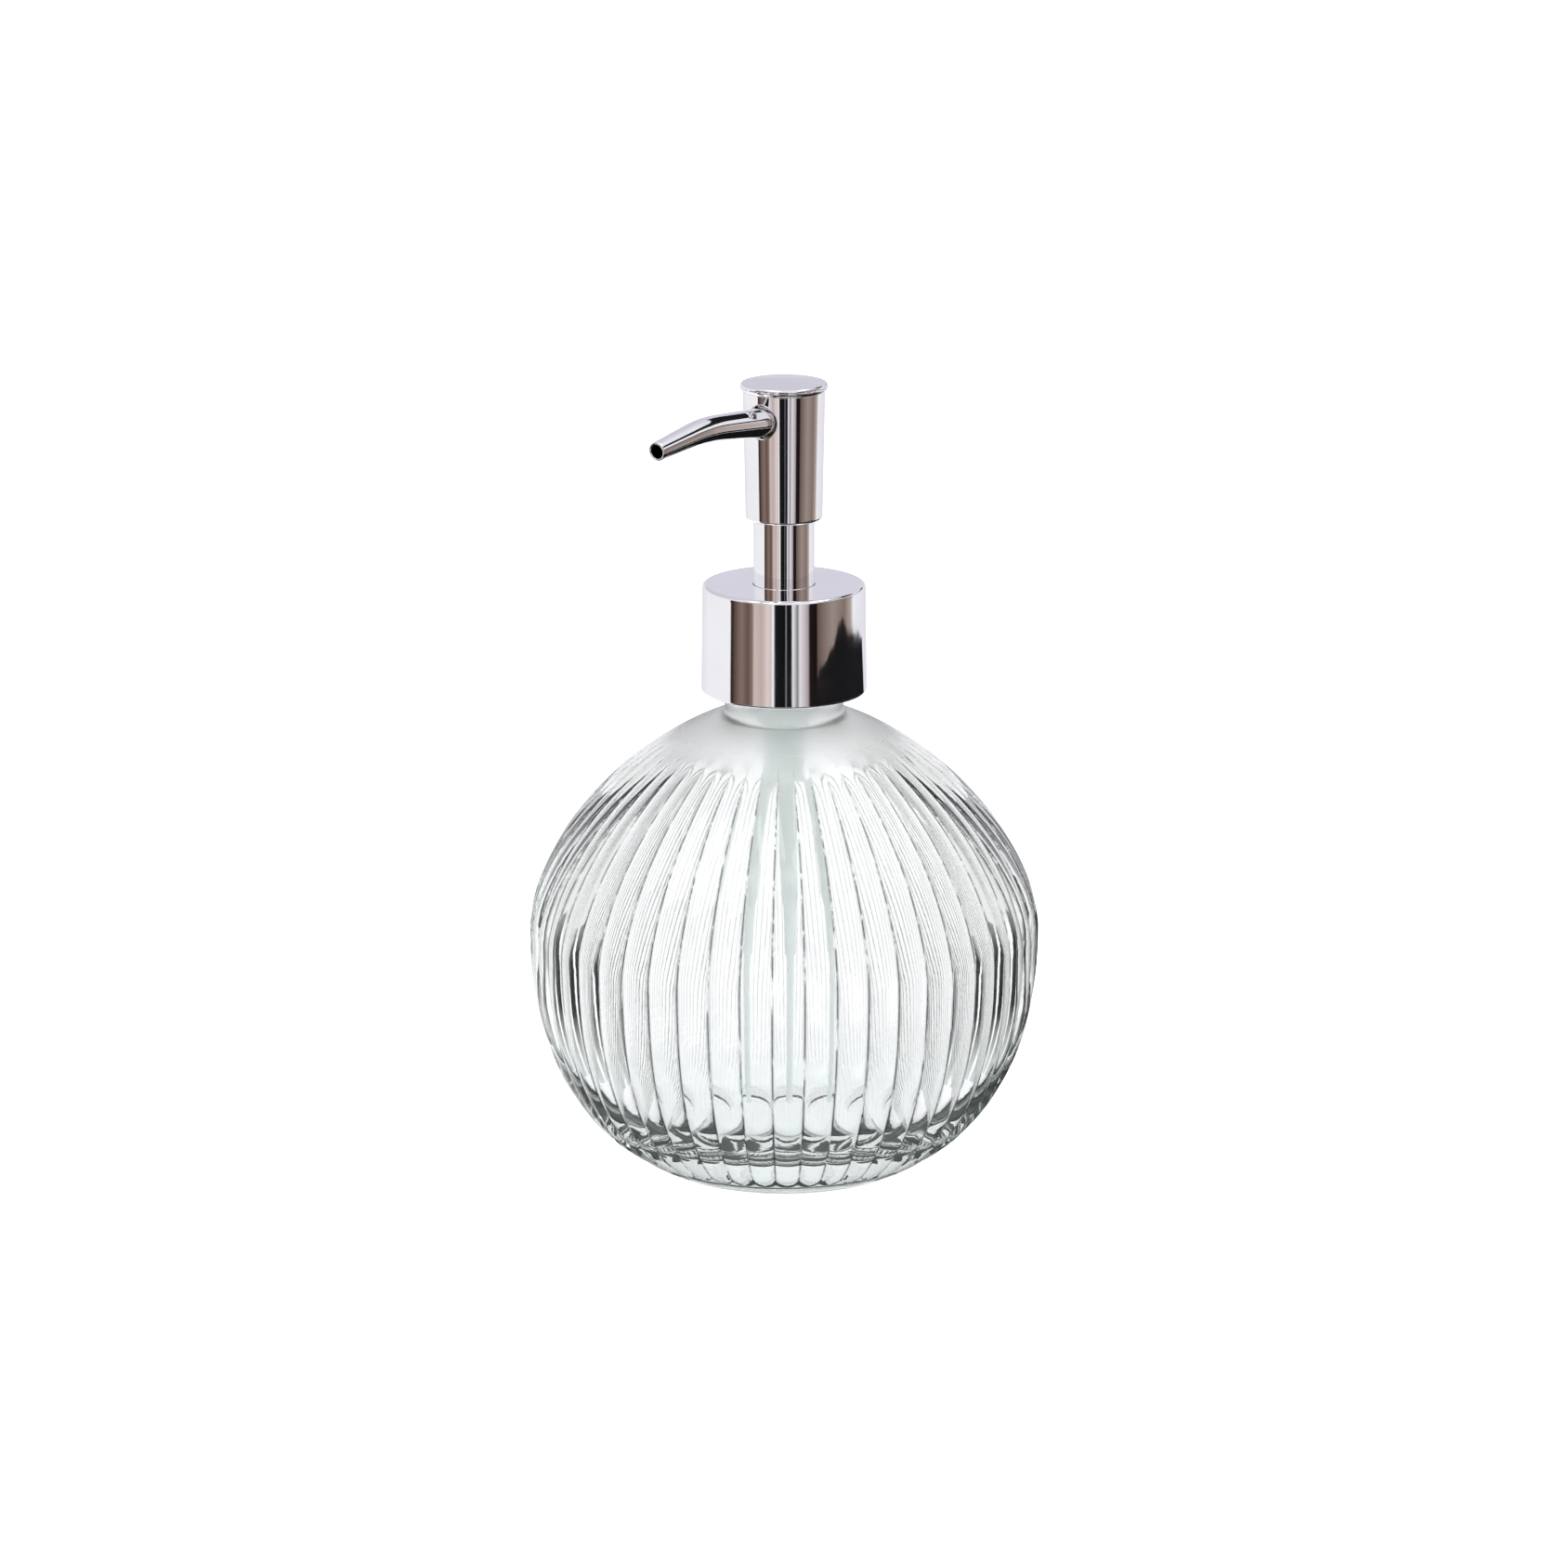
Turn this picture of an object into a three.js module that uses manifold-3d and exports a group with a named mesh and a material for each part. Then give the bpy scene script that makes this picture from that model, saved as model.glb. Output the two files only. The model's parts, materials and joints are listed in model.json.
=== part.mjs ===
// Soap pump dispenser: a ribbed glass globe bottle with a screw-on plated pump.
// Millimetres, +Z up. The origin is the centre of the base, on the surface the bottle stands on.
// The spout points along -Y. The bottle is drawn from the origin, the pump from the bottle's rim
// and the head from its own lower edge, and each group is then placed on the one below.
import * as THREE from 'three';
import { mergeVertices } from 'three/addons/utils/BufferGeometryUtils.js';
import Module from 'manifold-3d';

const wasm = await Module();
wasm.setup();

// ---------- driving dimensions ----------

const globe = {
  radius: 52.5, // at the crests of the ribs
  equator: 50.2, // height of the widest ring
  shoulderRise: 47.8, // equator to where the shoulder curve would close
  shoulderPower: 1.65, // below 2, so the shoulder slopes in flatter than a ball's
  heelDrop: 55.6, // equator down to where the heel curve would close, under the base
  heelPower: 2.37, // above 2, so the lower half is fuller than a ball's
  heel: 3, // height at which the heel's rounding meets that curve
  knee: 1, // how far that rounding stands out beyond a straight bevel
  wall: 2.8,
  baseThickness: 7,
  floorPower: 3, // the inside's lower curve, flatter than the heel's
  footRadius: 25, // outer edge of the flat ring it stands on
  puntRadius: 16, // the hollow under the base
  puntRise: 0.8,
};
const ribs = {
  count: 50,
  depth: 0.9,
  turn: 3.6, // degrees from +X to the nearest crest
  topRadius: 19, // where they begin on the shoulder
  fadeLength: 6, // over which they reach their full depth
  footRise: 3, // height at which they have it again at the heel
};
const neck = {
  radius: 12,
  bore: 8.7,
  length: 20.6, // from where its wall would meet the shoulder's curve
  land: 0.4, // how far the threaded part stands out
  landLength: 15,
  flare: 2.4, // of the fillet at its root
  lip: 0.6,
  sunk: 3, // how far its solid reaches down into the shoulder's
};
const thread = { bead: 0.95, height: 1.2, pitch: 3.2, turns: 1.25, start: -11.5 };

// Heights from here on are above the bottle's rim.
const collar = { bottom: -16.1, height: 22.1, draft: 0.4, edge: 0.8, wall: 1, plate: 1.2 };
const liner = { wall: 1.6, lead: 1.2, hole: 10 };
const gasket = 1; // thickness
const chamber = {
  flangeThickness: 1.4,
  neckBore: 5, // of the wide part that hangs in the bottle's neck
  neckWall: 1,
  step: -24, // where it narrows to the barrel
  stepCone: 2, // height of the cone inside that step
  bore: 3.4,
  boreEnd: -58.5,
  wall: 0.8,
  seat: -61, // top edge of the inlet ball's seat
  seatBore: 1.5,
  socketTop: -63, // takes the dip tube
  socketLength: 10,
  socketWall: 0.9,
};
const guide = { foot: -21, flange: 9.5, flangeThickness: 1 };
const dipTube = { radius: 2.2, wall: 0.7, floorGap: 2.5 };
const inletBall = { radius: 2, lift: 1.2 };
const cage = { thickness: 1.8, hub: 1.1, rim: 0.9, spoke: 0.8 };
const sleeve = { radius: 6.2, wall: 1.3, foot: 9.2, footThickness: 1, inHead: 3.8, bevel: 0.3 };
const stem = { radius: 2.4, bore: 1.2, shoulder: -25.5, spigot: 1.7, spigotBore: 1, spigotLength: 8.3 };
const piston = { length: 6.2, lip: 1.6, relief: 0.6, lead: 0.3 };
const retainer = { length: 3.2, floor: 1.5, flange: 1.2, taper: 0.5 };
const spring = { wire: 0.35, coils: 8 };

const head = { rest: 19.6, height: 26.3, skirtGap: 0.4, bottomWall: 1.2, topWall: 1.7, edge: 0.8 };

// And heights from here on are above the head's lower edge.
const core = { bottom: 16.8, top: 24.2, boss: 4.3, bossBottom: 7.4, stemDepth: 7, channelTop: 22.4 };
const outletBall = { radius: 1.7, chamber: 2.3, lift: 1.2, stop: 0.8 };
const button = { overhang: 0.5, thickness: 1.7, edge: 0.6, plugDepth: 1.8, plugWall: 1.3 };
const spout = {
  height: 21, // of its axis where it leaves the head
  bendReach: 27.6, // along -Y, from the head's axis
  bendRise: 1.8, // above that height
  tipReach: 43.2,
  tipRise: 0.1,
  bendLength: 5, // of straight tube taken up by the bend, on either side of it
  rootRadius: 2.95,
  bendRadius: 2.6,
  tipRadius: 1.9,
  bore: 1.45,
  lip: 0.25, // bevel round the mouth
  spigot: 2.1,
  spigotEnd: 3, // from the head's axis
};

const pressed = 0.1; // radial gap of pieces that are pressed or clipped together
const running = 0.1; // radial gap of pieces that slide or turn in each other
const loose = 0.3; // gap of pieces that only pass each other
const beyond = 2; // how far a cutting bar runs past what it cuts
const facets = { large: 36, medium: 28, small: 20, wire: 6, coil: 12, threadTurn: 24 };
const ballFacets = { around: 14, up: 8 };

// ---------- materials ----------

const paint = (color, roughness, metalness, opacity = 1) =>
  new THREE.MeshStandardMaterial({ color, roughness, metalness, opacity, transparent: opacity < 1 });
const glass = () => paint(0xe4ece9, 0.05, 0, 0.35);
const plating = () => paint(0xd9d8dc, 0.06, 1);
const whitePlastic = () => paint(0xf1f1ee, 0.45, 0);
const naturalPlastic = () => paint(0xdfe3e6, 0.35, 0, 0.6);
const foam = () => paint(0xe9e7e0, 0.9, 0);
const steel = () => paint(0xb8b8b6, 0.25, 1);

// ---------- shaping ----------

// A piece turned about Z from its outline of [radius, height] points. An outline that
// starts and ends on the axis is solid, and any other closes on itself.
function turned(outline, count) {
  const points = outline.map(([r, z]) => new THREE.Vector2(r, z));
  if (points[0].x > 0) points.push(points[0].clone());
  if (THREE.ShapeUtils.area(points) < 0) points.reverse();
  return new THREE.LatheGeometry(points, count).rotateX(Math.PI / 2);
}

const ring = (inner, outer, bottom, top, count) =>
  turned([[inner, bottom], [outer, bottom], [outer, top], [inner, top]], count);

const rod = (radius, bottom, top, count) =>
  turned([[0, bottom], [radius, bottom], [radius, top], [0, top]], count);

// Points of a rounded edge between an upright wall and a flat, as a quarter circle.
function rounded(r, z, radius, from, to, steps = 3) {
  return Array.from({ length: steps + 1 }, (_, i) => {
    const a = THREE.MathUtils.degToRad(from + ((to - from) * i) / steps);
    return [r + radius * Math.cos(a), z + radius * Math.sin(a)];
  });
}

function solid(geometry) {
  const bare = geometry.clone();
  bare.deleteAttribute('normal');
  bare.deleteAttribute('uv');
  const merged = mergeVertices(bare, 1e-4);
  return new wasm.Manifold(new wasm.Mesh({
    numProp: 3,
    vertProperties: merged.getAttribute('position').array,
    triVerts: new Uint32Array(merged.index.array),
  }));
}

function geometryOf(body) {
  const mesh = body.getMesh();
  const geometry = new THREE.BufferGeometry();
  geometry.setAttribute('position', new THREE.BufferAttribute(new Float32Array(mesh.vertProperties), 3));
  geometry.setIndex(new THREE.BufferAttribute(new Uint32Array(mesh.triVerts), 1));
  geometry.computeVertexNormals();
  return geometry;
}

class Helix extends THREE.Curve {
  constructor(radius, bottom, pitch, turns) {
    super();
    Object.assign(this, { radius, bottom, pitch, turns });
  }

  getPoint(t, target = new THREE.Vector3()) {
    const turn = t * this.turns;
    const a = turn * 2 * Math.PI;
    return target.set(this.radius * Math.cos(a), this.radius * Math.sin(a), this.bottom + turn * this.pitch);
  }
}

// A round bar swept along a curve.
function swept(path, radius, sides, steps) {
  const section = new THREE.Shape();
  section.absarc(0, 0, radius, 0, 2 * Math.PI);
  return new THREE.ExtrudeGeometry(section, { steps, extrudePath: path, curveSegments: sides / 2 });
}

function ball(radius, seatRadius, seat) {
  const rise = Math.sqrt(radius ** 2 - seatRadius ** 2) + pressed;
  return new THREE.SphereGeometry(radius, ballFacets.around, ballFacets.up)
    .rotateX(Math.PI / 2)
    .translate(0, 0, seat + rise);
}

// ---------- bottle ----------

// A superellipse quarter: its radius at an offset from the centre, and the offset of a radius.
const bulge = (radius, reach, power, offset) => radius * (1 - (offset / reach) ** power) ** (1 / power);
const offsetOf = (at, radius, reach, power) => reach * (1 - (at / radius) ** power) ** (1 / power);

// Points down (or up) such a quarter, as [radius, offset], at shares of the way to its last offset.
const quarter = (radius, reach, power, last, shares) =>
  shares.map((share) => [bulge(radius, reach, power, last * share), last * share]);

const shoulderTop = (radius) =>
  globe.equator + offsetOf(radius, globe.radius, globe.shoulderRise, globe.shoulderPower);

const rim = shoulderTop(neck.radius) + neck.length;
const landRadius = neck.radius + neck.land;
const threadReach = landRadius + thread.height;

// Ribs are full on the body and run out at the shoulder and the heel.
function grooveDepth(r, z) {
  const { smoothstep } = THREE.MathUtils;
  const end = z > globe.equator
    ? smoothstep(r, ribs.topRadius, ribs.topRadius + ribs.fadeLength)
    : smoothstep(z, 0, ribs.footRise);
  return ribs.depth * (r / globe.radius) * end;
}

function ribbedBody() {
  const { radius, equator, heel, footRadius } = globe;
  const drop = equator - heel;
  const inside = neck.radius - 1;
  const rise = shoulderTop(inside) - equator;
  const lower = quarter(radius, globe.heelDrop, globe.heelPower, drop, [1, 0.86, 0.68, 0.47, 0.24, 0]);
  const upper = quarter(
    radius, globe.shoulderRise, globe.shoulderPower, rise, [0.24, 0.46, 0.65, 0.8, 0.91, 1]);
  const geometry = turned([
    [0, globe.puntRise], [globe.puntRadius - 2, globe.puntRise], [globe.puntRadius, 0], [footRadius, 0],
    [(footRadius + lower[0][0]) / 2 + globe.knee, heel / 3],
    ...lower.map(([r, offset]) => [r, equator - offset]),
    ...upper.map(([r, offset]) => [r, equator + offset]),
    [0, equator + rise],
  ], ribs.count * 2);
  const position = geometry.getAttribute('position');
  for (let i = 0; i < position.count; i += 1) {
    const x = position.getX(i);
    const y = position.getY(i);
    const r = Math.hypot(x, y);
    if (r < 1) continue;
    const groove = 1 - Math.abs(Math.cos((ribs.count / 2) * Math.atan2(y, x)));
    const scale = 1 - (grooveDepth(r, position.getZ(i)) * groove) / r;
    position.setXY(i, x * scale, y * scale);
  }
  return geometry.rotateZ(THREE.MathUtils.degToRad(ribs.turn));
}

function neckFinish() {
  const { radius, land, landLength, flare, lip, sunk } = neck;
  const root = shoulderTop(radius + flare);
  return turned([
    [0, root - sunk], [radius, root - sunk], [radius + flare, root - 0.1], [radius + flare / 3, root + 1],
    [radius, root + flare], [radius, rim - landLength - land], [landRadius, rim - landLength],
    [landRadius, rim - lip], [radius + land - lip, rim], [0, rim],
  ], facets.large);
}

function threadBead() {
  const path = new Helix(threadReach - thread.bead, rim + thread.start, thread.pitch, thread.turns);
  return swept(path, thread.bead, facets.wire, thread.turns * facets.threadTurn);
}

function cavity() {
  const radius = globe.radius - globe.wall;
  const reach = globe.shoulderRise - globe.wall;
  const drop = globe.equator - globe.baseThickness;
  const rise = offsetOf(neck.bore, radius, reach, globe.shoulderPower);
  const lower = quarter(radius, drop, globe.floorPower, drop, [0.98, 0.9, 0.75, 0.52, 0.27, 0]);
  const upper = quarter(radius, reach, globe.shoulderPower, rise, [0.27, 0.52, 0.74, 0.89, 1]);
  return turned([
    [0, globe.baseThickness],
    ...lower.map(([r, offset]) => [r, globe.equator - offset]),
    ...upper.map(([r, offset]) => [r, globe.equator + offset]),
    [neck.bore, rim + 1], [0, rim + 1],
  ], facets.large);
}

const bottle = () => geometryOf(
  solid(ribbedBody()).add(solid(neckFinish())).add(solid(threadBead())).subtract(solid(cavity())));

// ---------- screw collar ----------

const linerBore = threadReach + loose;
const linerRadius = linerBore + liner.wall;
const collarBore = linerRadius + pressed;
const collarRadius = collarBore + collar.wall;
const collarTop = collar.bottom + collar.height;
const flangeTop = gasket + chamber.flangeThickness;

function collarShell() {
  const hole = sleeve.radius + running;
  const plate = collarTop - collar.plate;
  return turned([
    [collarBore, collar.bottom], [collarRadius + collar.draft - collar.edge / 2, collar.bottom],
    [collarRadius + collar.draft, collar.bottom + collar.edge],
    ...rounded(collarRadius - collar.edge, collarTop - collar.edge, collar.edge, 0, 90),
    [hole, collarTop], [hole, plate], [collarBore, plate],
  ], facets.large);
}

function closureLiner() {
  const bottom = collar.bottom + liner.lead;
  const under = flangeTop + loose;
  const top = collarTop - collar.plate;
  const body = turned([
    [linerBore, bottom], [linerRadius, bottom], [linerRadius, top], [liner.hole, top], [liner.hole, under],
    [linerBore, under],
  ], facets.large);
  const path = new Helix(linerBore, thread.start, thread.pitch, thread.turns);
  const groove = swept(path, thread.bead / 2, facets.wire, thread.turns * facets.threadTurn);
  return geometryOf(solid(body).subtract(solid(groove)));
}

// ---------- pump body ----------

const guideTop = flangeTop + guide.flangeThickness;
const tubeTop = chamber.socketTop;
const cageBottom = chamber.seat + Math.sqrt(inletBall.radius ** 2 - chamber.seatBore ** 2)
  + inletBall.radius + inletBall.lift + loose;
const cageTop = cageBottom + cage.thickness;

const gasketRing = () => ring(neck.bore + pressed, neck.radius, 0, gasket, facets.large);

function pumpChamber() {
  const { neckBore, bore, seatBore, step, seat } = chamber;
  const neckPart = neckBore + chamber.neckWall;
  const barrel = bore + chamber.wall;
  const socketBore = dipTube.radius + pressed;
  const socket = socketBore + chamber.socketWall;
  const socketEnd = tubeTop - chamber.socketLength;
  return turned([
    [neckBore, flangeTop], [neckBore, step + chamber.stepCone], [bore, step], [bore, chamber.boreEnd],
    [seatBore, seat], [seatBore, tubeTop], [socketBore, tubeTop], [socketBore, socketEnd], [socket, socketEnd],
    [socket, tubeTop], [barrel, seat + 1], [barrel, step], [neckPart, step + 0.6], [neckPart, gasket],
    [neck.radius, gasket], [neck.radius, flangeTop],
  ], facets.medium);
}

const stemGuide = () => turned([
  [stem.radius + running, guide.foot], [chamber.neckBore - pressed, guide.foot],
  [chamber.neckBore - pressed, flangeTop], [guide.flange, flangeTop], [guide.flange, guideTop],
  [stem.radius + running, guideTop],
], facets.medium);

function guideSleeve() {
  const { radius, foot } = sleeve;
  const inside = radius - sleeve.wall;
  const footTop = guideTop + sleeve.footThickness;
  const top = head.rest + sleeve.inHead;
  return turned([
    [inside, guideTop], [foot, guideTop], [foot, footTop], [radius, footTop],
    [radius, top - sleeve.bevel], [radius - sleeve.bevel, top], [inside, top],
  ], facets.medium);
}

function suctionTube() {
  const bottom = globe.baseThickness + dipTube.floorGap - rim;
  return ring(dipTube.radius - dipTube.wall, dipTube.radius, bottom, tubeTop - pressed, facets.small);
}

// A spoked ring that holds the inlet ball down and carries the spring.
function ballCage() {
  const outer = chamber.bore - pressed;
  const spoke = new THREE.BoxGeometry(2 * outer - cage.rim, cage.spoke, cage.thickness)
    .translate(0, 0, (cageBottom + cageTop) / 2);
  return geometryOf(
    solid(ring(outer - cage.rim, outer, cageBottom, cageTop, facets.small))
      .add(solid(rod(cage.hub, cageBottom, cageTop, facets.small)))
      .add(solid(spoke))
      .add(solid(spoke.clone().rotateZ(Math.PI / 2))));
}

// ---------- plunger ----------

const stemTop = head.rest + core.bossBottom + core.stemDepth;
const spigotEnd = stem.shoulder - stem.spigotLength;
const retainerFloor = spigotEnd - pressed;
const retainerBottom = retainerFloor - retainer.floor;
const retainerRadius = chamber.bore - loose;

const pistonStem = () => turned([
  [stem.bore, stemTop], [stem.bore, stem.shoulder], [stem.spigotBore, stem.shoulder - 1],
  [stem.spigotBore, spigotEnd], [stem.spigot, spigotEnd], [stem.spigot, stem.shoulder],
  [stem.radius, stem.shoulder], [stem.radius, stemTop],
], facets.small);

// Two thin lips wipe the barrel, and the waist between them is relieved.
function pistonCup() {
  const lip = chamber.bore - pressed;
  const waist = lip - piston.relief;
  const top = stem.shoulder - pressed;
  const bottom = top - piston.length;
  const bore = stem.spigot + running;
  return turned([
    [bore, bottom + piston.lip], [waist, bottom], [lip, bottom], [lip, bottom + piston.lip],
    [waist, bottom + 1.5 * piston.lip], [waist, top - 1.5 * piston.lip], [lip, top - piston.lip],
    [lip, top], [waist, top], [bore + piston.lead, top - piston.lip], [bore, top - piston.lip],
  ], facets.small);
}

const springRetainer = () => turned([
  [stem.spigotBore, retainerBottom], [retainerRadius, retainerBottom],
  [retainerRadius, retainerBottom + retainer.flange],
  [stem.spigot + pressed + retainer.taper, retainerBottom + retainer.length],
  [stem.spigot + pressed, retainerBottom + retainer.length], [stem.spigot + pressed, retainerFloor],
  [stem.spigotBore, retainerFloor],
], facets.small);

function returnSpring() {
  const bottom = cageTop + spring.wire + pressed;
  const top = retainerBottom - spring.wire - pressed;
  const helix = new Helix(retainerRadius - spring.wire, bottom, (top - bottom) / spring.coils, spring.coils);
  return swept(helix, spring.wire, facets.wire, spring.coils * facets.coil);
}

// ---------- head ----------

const headBore = sleeve.radius + head.skirtGap;
const headRadius = headBore + head.topWall;
const bendPoint = new THREE.Vector3(0, -spout.bendReach, spout.height + spout.bendRise);
const rootPoint = new THREE.Vector3(0, -headRadius, spout.height);
const tipPoint = new THREE.Vector3(0, -spout.tipReach, spout.height + spout.tipRise);
const rootDirection = bendPoint.clone().sub(rootPoint).normalize();
const tipDirection = tipPoint.clone().sub(bendPoint).normalize();

// A point on the straight first leg of the spout, at a reach from the head's axis.
const onFirstLeg = (reach) => rootPoint.clone().addScaledVector(rootDirection, reach - headRadius);

function spoutPath() {
  const bendStart = bendPoint.clone().addScaledVector(rootDirection, -spout.bendLength);
  const bendEnd = bendPoint.clone().addScaledVector(tipDirection, spout.bendLength);
  const path = new THREE.CurvePath();
  path.add(new THREE.LineCurve3(onFirstLeg(spout.spigotEnd), bendStart));
  path.add(new THREE.QuadraticBezierCurve3(bendStart, bendPoint, bendEnd));
  path.add(new THREE.LineCurve3(bendEnd, tipPoint));
  return path;
}

// A straight tapered tube is turned first, its height running from 0 to the path's length,
// and each ring of it is then moved to its place on the path.
function spoutTube() {
  const path = spoutPath();
  const length = path.getLength();
  const shoulder = headBore + loose - spout.spigotEnd;
  const bend = spout.bendReach - spout.spigotEnd;
  const outside = (s) => (s < bend
    ? THREE.MathUtils.mapLinear(s, shoulder, bend, spout.rootRadius, spout.bendRadius)
    : THREE.MathUtils.mapLinear(s, bend, length, spout.bendRadius, spout.tipRadius));
  const round = [-1, -0.6, -0.2, 0.2, 0.6, 1].map((share) => bend + share * spout.bendLength);
  const stations = [shoulder, ...round, length - spout.lip];
  const tube = turned([
    [spout.bore, 0], [spout.spigot, 0], [spout.spigot, shoulder],
    ...stations.map((s) => [outside(s), s]),
    [spout.tipRadius - spout.lip, length], [spout.bore, length],
    ...stations.slice(1).reverse().map((s) => [spout.bore, s]),
  ], facets.small);
  const position = tube.getAttribute('position');
  const side = new THREE.Vector3(1, 0, 0);
  for (let i = 0; i < position.count; i += 1) {
    const at = THREE.MathUtils.clamp(position.getZ(i) / length, 0, 1);
    const up = path.getTangentAt(at).cross(side);
    const centre = path.getPointAt(at);
    centre.addScaledVector(side, position.getX(i)).addScaledVector(up, position.getY(i));
    position.setXYZ(i, centre.x, centre.y, centre.z);
  }
  tube.computeVertexNormals();
  return tube;
}

// A round bar along the spout's first leg, to cut the holes it goes through.
function legBar(radius, fromReach, toReach, count) {
  const path = new THREE.LineCurve3(onFirstLeg(fromReach), onFirstLeg(toReach));
  return solid(swept(path, radius, count, 1));
}

function headShell() {
  const wall = turned([
    [headBore, 0], ...rounded(headBore + head.bottomWall - head.edge, head.edge, head.edge, -90, 0),
    [headRadius, head.height], [headBore, head.height],
  ], facets.large);
  const hole = legBar(spout.rootRadius + loose, headBore - beyond, headRadius + beyond, facets.medium);
  return geometryOf(solid(wall).subtract(hole));
}

// It grips the stem, carries the spout's root and joins their bores over the outlet ball.
function headCore() {
  const outside = headBore - pressed;
  const socket = stem.radius + pressed;
  const ballSeat = core.bossBottom + core.stemDepth;
  const stop = ballSeat + 2 * outletBall.radius + outletBall.lift;
  const body = turned([
    [0, core.top], [outside, core.top], [outside, core.bottom], [core.boss, core.bottom],
    [core.boss, core.bossBottom], [socket, core.bossBottom], [socket, ballSeat],
    [outletBall.chamber, ballSeat], [outletBall.chamber, core.channelTop], [0, core.channelTop],
  ], facets.medium);
  const rib = new THREE.BoxGeometry(2 * (outletBall.chamber + loose), outletBall.stop, outletBall.stop)
    .translate(0, 0, stop + outletBall.stop / 2);
  const socketBar = legBar(spout.spigot + pressed, spout.spigotEnd - loose, headRadius, facets.small);
  const channelBar = legBar(spout.bore, 0, spout.spigotEnd + beyond, facets.small);
  return geometryOf(solid(body).add(solid(rib)).subtract(socketBar).subtract(channelBar));
}

function topButton() {
  const plug = headBore - pressed;
  const top = head.height + button.thickness;
  const corner = headRadius + button.overhang - button.edge;
  return turned([
    [0, head.height], [plug - button.plugWall, head.height],
    [plug - button.plugWall, head.height - button.plugDepth], [plug, head.height - button.plugDepth],
    [plug, head.height],
    ...rounded(corner, head.height + button.edge, button.edge, -90, 0, 2),
    ...rounded(corner, top - button.edge, button.edge, 0, 90), [0, top],
  ], facets.large);
}

// ---------- assembly ----------

function named(name, geometry, material) {
  const mesh = new THREE.Mesh(geometry, material);
  mesh.name = name;
  return mesh;
}

const outletSeat = core.bossBottom + core.stemDepth;
const headGroup = new THREE.Group().add(
  named('head_shell', headShell(), plating()),
  named('head_core', headCore(), whitePlastic()),
  named('top_button', topButton(), plating()),
  named('spout', spoutTube(), plating()),
  named('outlet_ball', ball(outletBall.radius, stem.bore, outletSeat), steel()),
);
headGroup.position.z = head.rest;

const pumpGroup = new THREE.Group().add(
  named('collar_shell', collarShell(), plating()),
  named('closure_liner', closureLiner(), whitePlastic()),
  named('neck_gasket', gasketRing(), foam()),
  named('pump_chamber', pumpChamber(), naturalPlastic()),
  named('stem_guide', stemGuide(), whitePlastic()),
  named('guide_sleeve', guideSleeve(), plating()),
  named('dip_tube', suctionTube(), naturalPlastic()),
  named('ball_cage', ballCage(), whitePlastic()),
  named('inlet_ball', ball(inletBall.radius, chamber.seatBore, chamber.seat), steel()),
  named('piston_stem', pistonStem(), whitePlastic()),
  named('piston_cup', pistonCup(), naturalPlastic()),
  named('spring_retainer', springRetainer(), whitePlastic()),
  named('return_spring', returnSpring(), steel()),
  headGroup,
);
pumpGroup.position.z = rim;

const group = new THREE.Group().add(named('bottle', bottle(), glass()), pumpGroup);
export default group;
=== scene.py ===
# A soap bottle of ribbed pressed glass with a chrome-plated lotion pump, in metres.
import json
from math import cos, hypot, pi, radians, sin

import bmesh
import bpy
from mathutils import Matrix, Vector, noise


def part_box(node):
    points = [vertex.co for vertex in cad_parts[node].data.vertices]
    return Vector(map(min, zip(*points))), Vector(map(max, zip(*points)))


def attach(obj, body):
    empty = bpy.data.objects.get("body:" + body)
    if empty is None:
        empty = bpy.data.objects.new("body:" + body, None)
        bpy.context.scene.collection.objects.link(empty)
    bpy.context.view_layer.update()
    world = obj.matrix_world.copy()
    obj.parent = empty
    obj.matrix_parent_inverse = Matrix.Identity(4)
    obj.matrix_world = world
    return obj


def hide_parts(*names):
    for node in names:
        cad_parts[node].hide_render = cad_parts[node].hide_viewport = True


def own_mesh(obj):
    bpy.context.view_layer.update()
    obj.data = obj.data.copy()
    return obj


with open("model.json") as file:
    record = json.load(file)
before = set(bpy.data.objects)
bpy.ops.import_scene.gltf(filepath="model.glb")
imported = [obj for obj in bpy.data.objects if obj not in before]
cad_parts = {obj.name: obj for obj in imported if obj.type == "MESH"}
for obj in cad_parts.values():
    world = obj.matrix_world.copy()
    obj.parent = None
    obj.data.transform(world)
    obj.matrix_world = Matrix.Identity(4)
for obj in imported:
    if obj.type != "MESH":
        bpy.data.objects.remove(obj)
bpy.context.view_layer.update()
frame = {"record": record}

record = frame["record"]
print("frame loaded")

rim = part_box("bottle")[1][2]           # the pump's heights are measured from the bottle's rim
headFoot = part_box("head_shell")[0][2]  # and the head's from its own lower edge


def mm(value):
    return value * 0.001


def heights(node, base):
    # The lowest and highest height of a node, in millimetres above a base height.
    low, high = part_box(node)
    return (low[2] - base) * 1000, (high[2] - base) * 1000


def blendStep(low, high, value):
    # 0 up to low and 1 from high on, with an even passage between them.
    share = min(max((value - low) / (high - low), 0), 1)
    return share * share * (3 - 2 * share)


def curved(start, knee, end, share):
    return start * (1 - share) ** 2 + knee * 2 * share * (1 - share) + end * share * share


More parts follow.
